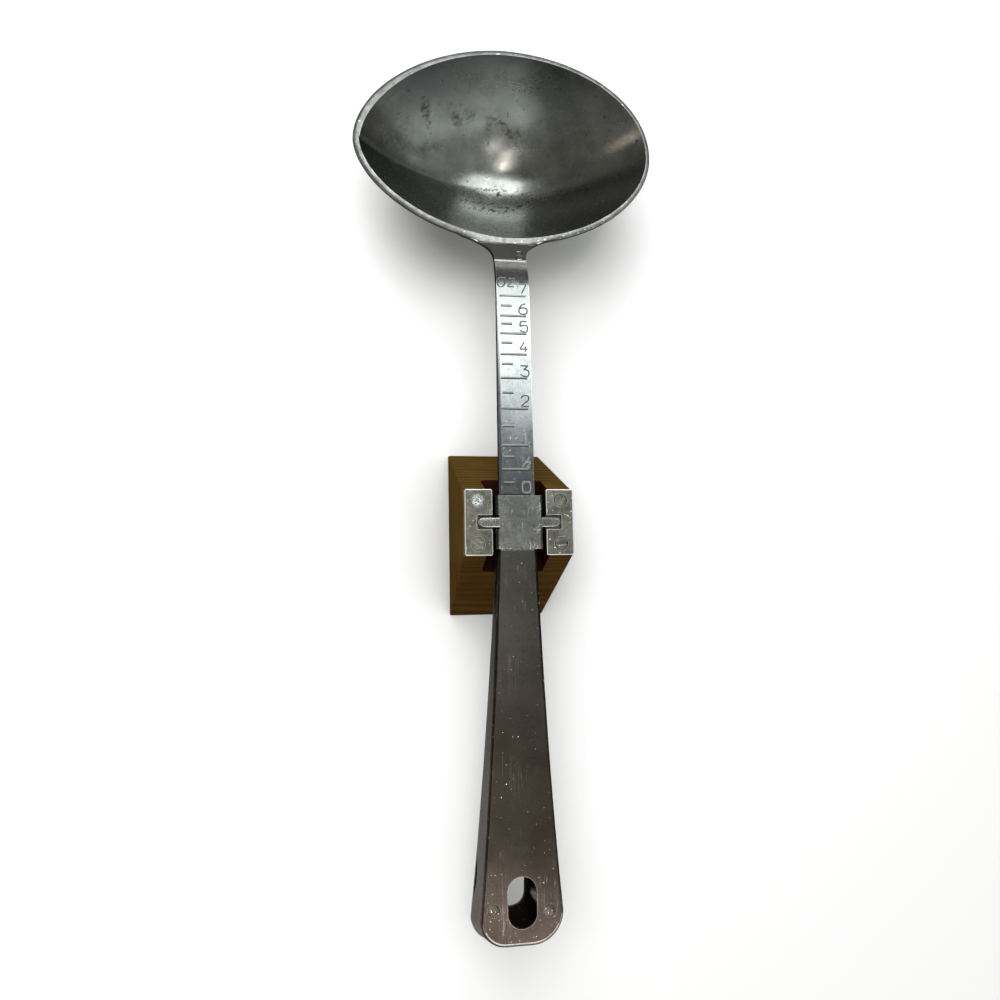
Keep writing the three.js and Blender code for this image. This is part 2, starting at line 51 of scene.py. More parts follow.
# levels and places that several pieces share
bowlLow, bowlHigh = boxOf("bowl_and_beam")
shellHigh = boxOf("handle_top_shell")[1]
sleeveLow, sleeveHigh = boxOf("slider_sleeve")
blockLow, blockHigh = boxOf("stand_block")
beamX = (bowlLow.x + bowlHigh.x) / 2    # the spoon lies a little left of the stand's middle
beamTop = bowlHigh.z
handleTop = shellHigh.z
handleFront = shellHigh.y
handleEnd = handleFront - 152.6    # of the top, the end wall leans out below it
fitGap = 0.3
overcut = 8.0


# mesh helpers

def slab(outline, shift):
    # a flat outline pulled along a vector
    bm = bmesh.new()
    start = bm.faces.new([bm.verts.new(point) for point in outline])
    grown = bmesh.ops.extrude_face_region(bm, geom=[start])["geom"]
    moved = [item for item in grown if isinstance(item, bmesh.types.BMVert)]
    bmesh.ops.translate(bm, vec=shift, verts=moved)
    bmesh.ops.recalc_face_normals(bm, faces=bm.faces)
    return bm


def turned(profile, spot, steps=48):
    # a profile of radius and height, spun about an upright axis
    bm = bmesh.new()
    line = [bm.verts.new((radius, 0, height)) for radius, height in profile]
    edges = [bm.edges.new(pair) for pair in zip(line, line[1:])]
    bmesh.ops.spin(bm, geom=line + edges, cent=(0, 0, 0), axis=(0, 0, 1), angle=2 * math.pi,
                   steps=steps, use_merge=True)
    bmesh.ops.remove_doubles(bm, verts=bm.verts, dist=0.001)
    bmesh.ops.recalc_face_normals(bm, faces=bm.faces)
    bmesh.ops.translate(bm, vec=spot, verts=bm.verts)
    return bm


def block(low, high):
    bm = bmesh.new()
    bmesh.ops.create_cube(bm, size=1)
    bmesh.ops.scale(bm, vec=Vector(high) - Vector(low), verts=bm.verts)
    bmesh.ops.translate(bm, vec=(Vector(low) + Vector(high)) / 2, verts=bm.verts)
    return bm


def arc(centre, radius, start, end, steps):
    points = []
    for step in range(steps + 1):
        angle = math.radians(start + (end - start) * step / steps)
        points.append((centre[0] + radius * math.cos(angle), centre[1] + radius * math.sin(angle)))
    return points


def roundedBox(left, bottom, right, top, radius, steps=6):
    points = arc((right - radius, bottom + radius), radius, -90, 0, steps)
    points += arc((right - radius, top - radius), radius, 0, 90, steps)
    points += arc((left + radius, top - radius), radius, 90, 180, steps)
    points += arc((left + radius, bottom + radius), radius, 180, 270, steps)
    return points


def bend(start, pull, end, steps):
    # a soft curve from start to end, drawn towards one pull point
    points = []
    for step in range(steps + 1):
        share = step / steps
        points.append(tuple((1 - share) ** 2 * a + 2 * share * (1 - share) * b + share ** 2 * c
                            for a, b, c in zip(start, pull, end)))
    return points


def atLevel(points, level):
    return [(x, y, level) for x, y in points]


def asObject(name, bm, *materials):
    bmesh.ops.scale(bm, vec=(mm, mm, mm), verts=bm.verts)
    mesh = bpy.data.meshes.new(name)
    bm.to_mesh(mesh)
    bm.free()
    for material in materials:
        mesh.materials.append(material)
    made = bpy.data.objects.new(name, mesh)
    bpy.context.scene.collection.objects.link(made)
    return made


def settle(piece):
    # modifiers become the mesh
    bpy.context.view_layer.update()
    graph = bpy.context.evaluated_depsgraph_get()
    finished = bpy.data.meshes.new_from_object(piece.evaluated_get(graph))
    piece.modifiers.clear()
    piece.data = finished


def carve(piece, cutters, operation="DIFFERENCE", crossing=False):
    for cutter in cutters:
        cut = piece.modifiers.new("carve", "BOOLEAN")
        cut.object = cutter
        cut.operation = operation
        cut.solver = "EXACT"
        cut.material_mode = "TRANSFER"
        cut.use_self = crossing
    settle(piece)
    for cutter in cutters:
        bpy.data.objects.remove(cutter)


def easeEdges(piece, width, segments=3, angle=35, material=-1):
    easing = piece.modifiers.new("eased edges", "BEVEL")
    easing.width = width * mm
    easing.segments = segments
    easing.material = material
    easing.limit_method = "ANGLE"
    easing.angle_limit = math.radians(angle)
    easing.profile = 0.5
    settle(piece)


def mergePoints(piece):
    # cuts and easing can leave points on top of each other
    bm = bmesh.new()
    bm.from_mesh(piece.data)
    bmesh.ops.remove_doubles(bm, verts=bm.verts, dist=0.001 * mm)
    bm.to_mesh(piece.data)
    bm.free()


def finishPiece(piece, body, slotName, *nodes, angle=34):
    # soft shading on curves, crisp at corners, flats kept flat
    piece.data.polygons.foreach_set("use_smooth", [True] * len(piece.data.polygons))
    piece.data.set_sharp_from_angle(angle=math.radians(angle))
    even = piece.modifiers.new("even normals", "WEIGHTED_NORMAL")
    even.keep_sharp = True
    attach(piece, body)
    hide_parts(*nodes)


# material helpers

def startMaterial(name):
    material = bpy.data.materials.new(name)
    material.use_nodes = True
    tree = material.node_tree
    return material, tree, tree.nodes["Principled BSDF"]


def addNode(tree, kind, inputs=None, **settings):
    node = tree.nodes.new(kind)
    for key, value in settings.items():
        setattr(node, key, value)
    for key, value in (inputs or {}).items():
        if isinstance(value, bpy.types.NodeSocket):
            tree.links.new(value, node.inputs[key])
        else:
            node.inputs[key].default_value = value
    return node


def objectSpot(tree):
    return addNode(tree, "ShaderNodeTexCoord").outputs["Object"]


def mapped(tree, spot, stretch=(1, 1, 1), turn=0.0, shift=(0, 0, 0), kind="POINT"):
    return addNode(tree, "ShaderNodeMapping", {
        "Vector": spot, "Location": shift, "Rotation": (0, 0, math.radians(turn)), "Scale": stretch},
        vector_type=kind).outputs[0]


def cloud(tree, spot, scale, detail=4.0, rough=0.6):
    return addNode(tree, "ShaderNodeTexNoise", {
        "Vector": spot, "Scale": scale, "Detail": detail, "Roughness": rough}).outputs["Fac"]


def ranged(tree, value, low, high, toLow=0.0, toHigh=1.0):
    return addNode(tree, "ShaderNodeMapRange", {
        "Value": value, "From Min": low, "From Max": high, "To Min": toLow, "To Max": toHigh},
        interpolation_type="SMOOTHSTEP").outputs["Result"]


def combine(tree, operation, first, *others):
    for other in others or (0.0,):
        first = addNode(tree, "ShaderNodeMath", {0: first, 1: other}, operation=operation).outputs[0]
    return first


def vectorMath(tree, operation, first, second=(0, 0, 0)):
    made = addNode(tree, "ShaderNodeVectorMath", {0: first, 1: second}, operation=operation)
    return made.outputs["Value" if operation in ("DOT_PRODUCT", "LENGTH") else "Vector"]


def alongAxis(tree, spot, axis):
    return addNode(tree, "ShaderNodeSeparateXYZ", {0: spot}).outputs[axis]


def addRelief(tree, shader, height, strength):
    bump = addNode(tree, "ShaderNodeBump", {"Height": height, "Strength": strength, "Distance": 0.2 * mm})
    tree.links.new(bump.outputs[0], shader.inputs["Normal"])


def tint(tree, amount, first, second):
    mixer = addNode(tree, "ShaderNodeMix", data_type="RGBA")
    for index, value in ((0, amount), (6, first), (7, second)):
        if isinstance(value, bpy.types.NodeSocket):
            tree.links.new(value, mixer.inputs[index])
        else:
            mixer.inputs[index].default_value = value if index == 0 else (*value, 1)
    return mixer.outputs[2]


def wornEdges(tree, radius):
    # one along edges and corners, nothing on flats
    rounded = addNode(tree, "ShaderNodeBevel", {"Radius": radius * mm}, samples=6)
    flat = addNode(tree, "ShaderNodeNewGeometry")
    match = vectorMath(tree, "DOT_PRODUCT", rounded.outputs[0], flat.outputs["Normal"])
    return ranged(tree, match, 0.995, 0.9)


def hairlines(tree, spot, scale, turn, width):
    # the thin band where a stretched noise crosses its middle
    streak = cloud(tree, mapped(tree, spot, (1, 0.02, 1), turn), scale, 2.0, 0.5)
    return ranged(tree, combine(tree, "ABSOLUTE", combine(tree, "SUBTRACT", streak, 0.5)), width, 0.0)


def wornMetal(name, look):
    material, tree, shader = startMaterial(name)
    spot = objectSpot(tree)
    broad = cloud(tree, spot, look["broad"], 5.0, 0.62)
    fine = cloud(tree, spot, look["fine"], 3.0, 0.7)
    colour = tint(tree, ranged(tree, broad, 0.34, 0.66), look["dark"], look["light"])
    speckle = cloud(tree, spot, look["nick"], 1.0, 0.4)
    scratch = look["hairDepth"]
    for tone in look.get("tones", []):
        # tone, wear and painted light and shade change along the spoon
        along = ranged(tree, alongAxis(tree, spot, "Y"), tone["from"] * mm, tone["to"] * mm)
        other = tint(tree, ranged(tree, broad, 0.34, 0.66), tone["dark"], tone["light"])
        colour = tint(tree, along, colour, other)
        speckle = combine(tree, "ADD", speckle, combine(tree, "MULTIPLY", along, tone["specks"]))
        scratch = combine(tree, "ADD", combine(tree, "MULTIPLY", along, tone.get("hairs", 0.0)), scratch)
    mottle = combine(tree, "MULTIPLY", ranged(tree, fine, 0.5, 0.72), look["mottle"])
    colour = tint(tree, mottle, colour, look["stain"])
    hair = combine(tree, "MAXIMUM", hairlines(tree, spot, look["hair"], look["hairTurn"], 0.012),
                   hairlines(tree, spot, look["hair"] * 0.7, look["hairTurn"] + 64, 0.008))
    patches = cloud(tree, mapped(tree, spot, turn=20), look["broad"] * 2.3, 3.0, 0.5)
    rubbed = ranged(tree, patches, 0.48, 0.66)
    hair = combine(tree, "MULTIPLY", hair, rubbed, scratch)
    nick = ranged(tree, speckle, look["nickFrom"], look["nickFrom"] + 0.05)
    edge = combine(tree, "MULTIPLY", wornEdges(tree, look["edge"]), look["edgeWear"])
    bare = combine(tree, "MAXIMUM", hair, nick, edge)
    tree.links.new(tint(tree, bare, colour, look["bare"]), shader.inputs["Base Color"])
    rough = ranged(tree, fine, 0.3, 0.7, look["smooth"], look["rough"])
    tree.links.new(combine(tree, "SUBTRACT", rough, combine(tree, "MULTIPLY", bare, 0.08)),
                   shader.inputs["Roughness"])
    relief = combine(tree, "SUBTRACT", combine(tree, "MULTIPLY", fine, 0.5),
                     combine(tree, "MAXIMUM", hair, nick))
    addRelief(tree, shader, relief, look["bump"])
    shader.inputs["Metallic"].default_value = 1.0
    shader.inputs["Specular Tint"].default_value = (*look["glance"], 1)    # what shows at a glancing angle
    return material


# finishes of the metals

beamLook = dict(
    dark=(0.235, 0.25, 0.25), light=(0.31, 0.325, 0.325), stain=(0.12, 0.12, 0.115),
    bare=(0.6, 0.61, 0.6), broad=45, fine=700, mottle=0.25, hair=900, hairTurn=8, hairDepth=0.35,
    nick=900, nickFrom=0.78, edge=0.6, edgeWear=0.3, smooth=0.13, rough=0.2, bump=0.08,
    glance=(0.6, 0.6, 0.6))
# darker near the sleeve and over the bend, lighter on the neck: painted shade and painted light where the
# glare falls off, with specks of wear near the sleeve and on the neck
beamTones = [
    {"from": 62, "to": 30, "dark": (0.155, 0.169, 0.18), "light": (0.245, 0.265, 0.278), "specks": 0.07},
    {"from": 84, "to": 99, "dark": (0.155, 0.165, 0.162), "light": (0.2, 0.212, 0.208), "specks": 0.0},
    {"from": 100, "to": 108, "dark": (0.27, 0.275, 0.265), "light": (0.36, 0.365, 0.35), "specks": 0.04}]
sleeveLook = dict(
    dark=(0.145, 0.15, 0.145), light=(0.23, 0.238, 0.228), stain=(0.075, 0.075, 0.07),
    bare=(0.75, 0.76, 0.74), broad=80, fine=900, mottle=0.3, hair=1200, hairTurn=35, hairDepth=0.9,
    nick=1300, nickFrom=0.8, edge=0.4, edgeWear=0.95, smooth=0.22, rough=0.32, bump=0.12,
    glance=(0.6, 0.6, 0.6))
plateLook = dict(
    dark=(0.092, 0.092, 0.078), light=(0.175, 0.175, 0.152), stain=(0.045, 0.042, 0.033),
    bare=(0.78, 0.76, 0.7), broad=160, fine=1100, mottle=0.55, hair=1300, hairTurn=-20, hairDepth=0.6,
    nick=900, nickFrom=0.72, edge=0.45, edgeWear=1.0, smooth=0.34, rough=0.5, bump=0.2,
    glance=(0.6, 0.6, 0.6))
screwLook = dict(
    dark=(0.1, 0.1, 0.085), light=(0.2, 0.2, 0.175), stain=(0.045, 0.042, 0.033), bare=(0.72, 0.71, 0.66),
    broad=300, fine=1500, mottle=0.6, hair=1500, hairTurn=50, hairDepth=0.5, nick=1400, nickFrom=0.7,
    edge=0.2, edgeWear=0.25, smooth=0.32, rough=0.5, bump=0.25, glance=(0.6, 0.6, 0.6))
brightScrewLook = dict(
    dark=(0.28, 0.31, 0.32), light=(0.5, 0.54, 0.55), stain=(0.09, 0.1, 0.1), bare=(0.8, 0.83, 0.83),
    broad=400, fine=1500, mottle=0.55, hair=1500, hairTurn=10, hairDepth=0.4, nick=1400, nickFrom=0.72,
    edge=0.3, edgeWear=0.6, smooth=0.2, rough=0.36, bump=0.2, glance=(0.8, 0.8, 0.8))
# the end tone is its purple-brown colour and, being lighter, also a painted highlight for the light the end
# catches
handleTones = [
    {"from": -30, "to": -95, "dark": (0.043, 0.037, 0.03), "light": (0.062, 0.053, 0.044), "specks": 0.0},
    {"from": -116, "to": -168, "dark": (0.1, 0.076, 0.066), "light": (0.165, 0.131, 0.118), "specks": 0.045,
     "hairs": 0.35}]
handleLook = dict(
    dark=(0.056, 0.0555, 0.051), light=(0.08, 0.079, 0.073), stain=(0.03, 0.027, 0.023),
    tones=handleTones, bare=(0.6, 0.56, 0.53), broad=30, fine=800, mottle=0.35, hair=700, hairTurn=80,
    hairDepth=0.16, nick=1000, nickFrom=0.75, edge=0.6, edgeWear=0.75, smooth=0.27, rough=0.39, bump=0.14,
    glance=(0.3, 0.3, 0.3))
rivetLook = dict(
    dark=(0.095, 0.08, 0.072), light=(0.19, 0.165, 0.15), stain=(0.045, 0.038, 0.034),
    bare=(0.7, 0.67, 0.65), broad=300, fine=1800, mottle=0.5, hair=1800, hairTurn=75, hairDepth=0.9,
    nick=1500, nickFrom=0.64, edge=0.2, edgeWear=0.3, smooth=0.28, rough=0.45, bump=0.5,
    glance=(0.6, 0.6, 0.6))
springLook = dict(
    dark=(0.16, 0.17, 0.19), light=(0.22, 0.23, 0.26), stain=(0.1, 0.1, 0.11), bare=(0.5, 0.5, 0.5),
    broad=200, fine=900, mottle=0.2, hair=900, hairTurn=0, hairDepth=0.2, nick=900, nickFrom=0.78,
    edge=0.2, edgeWear=0.4, smooth=0.3, rough=0.4, bump=0.1, glance=(0.6, 0.6, 0.6))
ironLook = dict(
    dark=(0.05, 0.048, 0.045), light=(0.1, 0.095, 0.09), stain=(0.09, 0.05, 0.03), bare=(0.2, 0.2, 0.2),
    broad=150, fine=600, mottle=0.5, hair=500, hairTurn=0, hairDepth=0.1, nick=700, nickFrom=0.8,
    edge=0.5, edgeWear=0.3, smooth=0.55, rough=0.8, bump=0.6, glance=(0.3, 0.3, 0.3))

beamMetal = wornMetal("beam aluminium", dict(beamLook, tones=beamTones))
sleeveMetal = wornMetal("sleeve steel", sleeveLook)
plateMetal = wornMetal("plate steel", plateLook)
screwMetal = wornMetal("old screw steel", screwLook)
brightScrewMetal = wornMetal("bright screw steel", brightScrewLook)
handleMetal = wornMetal("browned handle aluminium", handleLook)
rivetMetal = wornMetal("rivet aluminium", rivetLook)
springMetal = wornMetal("blued spring steel", springLook)
ironMetal = wornMetal("raw iron", ironLook)

# the cuts' dark metal is grime together with painted shade in the recesses
grimeAndShadeLook = dict(beamLook, dark=(0.05, 0.052, 0.052), light=(0.1, 0.1, 0.1), bare=(0.2, 0.2, 0.2),
                 edgeWear=0.0, smooth=0.4, rough=0.6)
grimeAndShadeMetal = wornMetal("grime and painted shade in cuts", grimeAndShadeLook)
bareLook = dict(beamLook, dark=(0.68, 0.68, 0.66), light=(0.82, 0.82, 0.8), bare=(0.9, 0.9, 0.88),
                mottle=0.15, edgeWear=0.0, smooth=0.3, rough=0.42)
bareMetal = wornMetal("rubbed bare edges", bareLook)
# painted shade for the sleeve's sides and bends
shadedSleeveBendLook = dict(sleeveLook, dark=(0.05, 0.051, 0.049), light=(0.085, 0.087, 0.083), edgeWear=0.3)
shadedSleeveBendMetal = wornMetal("sleeve bends in painted shade", shadedSleeveBendLook)
# the bend round the handle's end is rubbed, and lighter still as a painted highlight
rubbedLitLook = dict(bareLook, dark=(0.5, 0.45, 0.43), light=(0.85, 0.8, 0.77), mottle=0.5)
rubbedLitMetal = wornMetal("rubbed handle end with painted highlight", rubbedLitLook)
# painted light: the handle's side walls are made lighter than its top
litWallTones = [
    {"from": -20, "to": -150, "dark": (0.18, 0.156, 0.14), "light": (0.25, 0.22, 0.2), "specks": 0.02}]
litWallLook = dict(handleLook, dark=(0.042, 0.039, 0.036), light=(0.062, 0.058, 0.053), tones=litWallTones)
litWallMetal = wornMetal("handle walls with painted light", litWallLook)
# painted shade for the spoon's steep sides
sideLook = dict(beamLook, dark=(0.035, 0.035, 0.033), light=(0.07, 0.07, 0.067), bare=(0.2, 0.2, 0.2),
                edgeWear=0.2, smooth=0.4, rough=0.55, glance=(0.12, 0.12, 0.12))
sideMetal = wornMetal("tarnished sides", sideLook)
outsideLook = dict(beamLook, dark=(0.2, 0.2, 0.19), light=(0.3, 0.3, 0.29), broad=30, smooth=0.3, rough=0.45,
                   edgeWear=0.2, hairTurn=50)
outsideMetal = wornMetal("bowl outside aluminium", outsideLook)
rimLook = dict(beamLook, dark=(0.2, 0.205, 0.198), light=(0.325, 0.33, 0.318), bare=(0.75, 0.76, 0.74),
               broad=160, mottle=0.5, nickFrom=0.7, smooth=0.36, rough=0.5, bump=0.25, hairTurn=40)
rimMetal = wornMetal("filed rim aluminium", rimLook)
# the numbers further up are dark with grime and painted shade
penLook = dict(grimeAndShadeLook, dark=(0.11, 0.112, 0.11), light=(0.19, 0.193, 0.19))
penMetal = wornMetal("grime and painted shade in numbers", penLook)

# far is the colour of a painted shade on the far edge, near that of a painted sheen on the near slope
bowlLook = {
    "dark": (0.185, 0.193, 0.184), "light": (0.33, 0.338, 0.324), "stain": (0.06, 0.058, 0.052),
    "far": (0.036, 0.037, 0.036), "near": (0.68, 0.695, 0.68), "smooth": 0.19, "rough": 0.275,
    "turnedMarks": 900, "anisotropy": 0.3, "farShadeFrom": 174, "farShadeTo": 206, "nearSheenFrom": 166, "nearSheenTo": 142,
    "rag": 0.006, "pitMiddle": (2.0, 156.5), "pitSize": (21, 8.5)}
bowlStains = [
    # middle, half sizes in millimetres, turn and strength
    ((-33.5, 186.0), (2.4, 4.6), 10, 1.0),
    ((-18.5, 188.0), (2.6, 2.6), -15, 1.0),
    ((-13.5, 190.0), (2.6, 2.2), 20, 0.9),
    ((-30.0, 176.0), (9, 2), 25, 0.5),
    ((-48.0, 172.0), (6, 4), 30, 0.4),
    ((5.0, 187.0), (10, 1.5), -22, 1.0),
    ((-3.5, 186.0), (2, 4.5), 10, 0.8),
    ((30.0, 158.0), (7, 3), 10, 0.6),
    ((0.0, 199.5), (30, 2.5), 0, 0.35),
]


def ovalReach(tree, spot, middle, size, turn):
    # nothing at an oval's middle, one at its edge
    local = mapped(tree, spot, (size[0] * mm, size[1] * mm, 1), turn, (middle[0] * mm, middle[1] * mm, 0),
                   "TEXTURE")
    return vectorMath(tree, "LENGTH", vectorMath(tree, "MULTIPLY", local, (1, 1, 0)))


def bowlFinish():
    material, tree, shader = startMaterial("turned bowl aluminium")
    spot = objectSpot(tree)
    ring = addNode(tree, "ShaderNodeUVMap", uv_map="turning").outputs[0]
    broad = cloud(tree, spot, 55, 8.0, 0.66)
    fine = cloud(tree, spot, 600, 4.0, 0.7)
    colour = tint(tree, ranged(tree, broad, 0.3, 0.7), bowlLook["dark"], bowlLook["light"])
    # painted shade darkens the far edge, and a painted sheen of reflected light lightens the near slope
    askew = vectorMath(tree, "DOT_PRODUCT", spot, (-0.35, 1, 0))
    farShade = ranged(tree, askew, bowlLook["farShadeFrom"] * mm, bowlLook["farShadeTo"] * mm, 0.0, 0.9)
    colour = tint(tree, farShade, colour, bowlLook["far"])
    along = alongAxis(tree, spot, "Y")
    nearSheen = ranged(tree, along, bowlLook["nearSheenFrom"] * mm, bowlLook["nearSheenTo"] * mm, 0.0, 0.8)
    colour = tint(tree, nearSheen, colour, bowlLook["near"])
    # stains with ragged edges, pits and specks
    rag = bowlLook["rag"]
    shift = addNode(tree, "ShaderNodeTexNoise", {"Vector": spot, "Scale": 140.0, "Detail": 4.0})
    spread = vectorMath(tree, "MULTIPLY", shift.outputs["Color"], (rag, rag, 0.0))
    ragged = vectorMath(tree, "ADD", spot, spread)
    ragged = vectorMath(tree, "SUBTRACT", ragged, (rag / 2, rag / 2, 0.0))
    blotch = cloud(tree, mapped(tree, spot, (1, 1.4, 1), 20), 380, 5.0, 0.65)
    blotch = ranged(tree, blotch, 0.44, 0.58, 0.25, 1.0)
    marks = []
    for middle, size, turn, strength in bowlStains:
        near = ranged(tree, ovalReach(tree, ragged, middle, size, turn), 1.4, 0.3)
        marks.append(combine(tree, "MULTIPLY", near, blotch, strength))
    near = ranged(tree, ovalReach(tree, spot, bowlLook["pitMiddle"], bowlLook["pitSize"], 0), 1.25, 0.5)
    pitted = combine(tree, "MULTIPLY", near, ranged(tree, cloud(tree, spot, 520, 3.0, 0.6), 0.54, 0.62))
    specks = ranged(tree, cloud(tree, spot, 330, 2.0, 0.5), 0.66, 0.74)
    marks += [combine(tree, "MULTIPLY", pitted, 0.95), combine(tree, "MULTIPLY", specks, 0.5)]
    dirt = combine(tree, "MAXIMUM", *marks)
    tree.links.new(tint(tree, dirt, colour, bowlLook["stain"]), shader.inputs["Base Color"])
    # rings left by turning
    lathe = cloud(tree, mapped(tree, ring, (bowlLook["turnedMarks"], 3, 1)), 1.0, 2.0, 0.5)
    grain = combine(tree, "ADD", combine(tree, "MULTIPLY", lathe, 0.4), combine(tree, "MULTIPLY", fine, 0.6))
    rough = ranged(tree, grain, 0.35, 0.65, bowlLook["smooth"], bowlLook["rough"])
    rough = combine(tree, "ADD", rough, combine(tree, "MULTIPLY", dirt, 0.2))
    tree.links.new(rough, shader.inputs["Roughness"])
    marked = combine(tree, "MULTIPLY", combine(tree, "ADD", lathe, fine), 0.3)
    addRelief(tree, shader, combine(tree, "SUBTRACT", marked, pitted), 0.07)
    around = addNode(tree, "ShaderNodeTangent", direction_type="UV_MAP", uv_map="turning").outputs[0]
    tree.links.new(around, shader.inputs["Tangent"])
    shader.inputs["Metallic"].default_value = 1.0
    shader.inputs["Anisotropic"].default_value = bowlLook["anisotropy"]
    return material


bowlMetal = bowlFinish()
# painted shade for the handle's bends, end wall and slot walls
shadedBendLook = dict(handleLook, dark=(0.016, 0.015, 0.014), light=(0.032, 0.03, 0.028), hairDepth=0.2,
                edgeWear=0.0)
shadedBendMetal = wornMetal("handle bends in painted shade", shadedBendLook)
print("metals ready")


# spoon: bowl, neck, graduated beam and tang in one casting

bowl = {
    "middle": 163.5, "near": 40.8, "depth": 40.0, "wall": 2.1, "fullness": 2.2, "rimWidth": 2.2,
    "rimHeight": 1.8, "rimFlat": 0.5, "beadDrop": 0.8, "beadSteps": 6, "innerShift": 0.35, "turns": 160,
    "innerRings": 40, "outerRings": 24, "broadRimAt": 150, "broadRim": 0.02, "broadRimSpan": 28,
    "nearLeft": 1.76, "nearRight": 1.93, "farLeft": 1.84, "farRight": 2.04}
bowl["halfWidth"] = (bowlHigh.x - bowlLow.x) / 2 - bowl["rimWidth"]
bowl["far"] = 44.5 - bowl["rimWidth"]
rimTop = bowlLow.z + bowl["depth"] + bowl["wall"]
nearRim = bowl["middle"] - bowl["near"] - bowl["rimWidth"]

beam = {
    "half": 7.75, "neckHalf": 7.2, "thickness": 3.2, "bendLength": 27.0, "bendEase": 0.75, "neckLength": 8.5,
    "neckFlare": 16.5, "neckRound": 0.7, "neckRows": 14, "bendRows": 14, "tangWidth": 13.0, "tangDrop": 0.1,
    "leftRound": 1.5, "leftDrop": 1.1}


def ovalPoint(angle, grow):
    # each quarter of the oval has its own fullness: the left end is the more pointed one
    aside, ahead = math.cos(angle), math.sin(angle)
    quarter = ("near" if ahead < 0 else "far") + ("Right" if aside > 0 else "Left")
    power = 2 / bowl[quarter]
    reach = (bowl["near"] if ahead < 0 else bowl["far"]) + grow
    x = math.copysign(abs(aside) ** power, aside) * (bowl["halfWidth"] + grow)
    y = math.copysign(abs(ahead) ** power, ahead) * reach
    return Vector((x, y, 0))


def bowlRings():
    # share of the oval, growth beyond it and level, from the inner middle over the rim to the outer middle
    rings = []
    for step in range(bowl["innerRings"] + 1):
        share = step / bowl["innerRings"]
        rings.append((share, 0.0, -bowl["depth"] * (1 - share ** bowl["fullness"])))
    for step in range(bowl["beadSteps"] + 1):
        tilt = math.pi / 2 * step / bowl["beadSteps"]
        grow = bowl["rimFlat"] + (bowl["rimWidth"] - bowl["rimFlat"]) * math.sin(tilt)
        rings.append((1.0, grow, -bowl["beadDrop"] * (1 - math.cos(tilt))))
    rings.append((1.0, bowl["rimWidth"], -bowl["rimHeight"]))
    outerDepth = bowl["depth"] + bowl["wall"]
    meeting = (1 - bowl["rimHeight"] / outerDepth) ** (1 / bowl["fullness"])
    for step in range(bowl["outerRings"], -1, -1):
        share = meeting * step / bowl["outerRings"]
        rings.append((share, bowl["wall"], -outerDepth * (1 - share ** bowl["fullness"])))
    return rings


def eased(value, low, high):
    share = min(max((value - low) / (high - low), 0), 1)
    return share * share * (3 - 2 * share)


def bendLevel(y):
    # top of the strip: level, then bending down to run straight into the rim
    along = min(max((y - nearRim + beam["bendLength"]) / beam["bendLength"], 0), 1)
    ease = beam["bendEase"]
    fall = along ** 2 / (2 * ease) if along < ease else along - ease / 2
    return beamTop - (beamTop - rimTop) * fall / (1 - ease / 2)


handle = {
    "frontHalf": 8.0, "flareHalf": 11.2, "flareLength": 86.0, "endHalf": 16.4, "skew": -1.0,
    "leftCorner": 10.0, "rightCorner": 12.4, "frontThickness": 5.8, "taper": 0.149, "sheet": 1.2, "bend": 1.2,
    "lean": 0.24, "skirt": 40.0, "coverSheet": 1.4, "coverEdge": 0.3, "seam": 0.15,
    "slotWidth": 11.5, "slotLength": 19.5, "slotInset": 6.3, "slotCutLow": 20, "slotCutRise": 60,
    "slitLength": 18.0, "slitHeight": 5.0, "slitInset": 13.0, "slitCut": 60}


def coverLevel(y):
    # underside of the handle's cover, falling evenly from front to end
    return handleTop - handle["frontThickness"] - handle["taper"] * (handleFront - y)


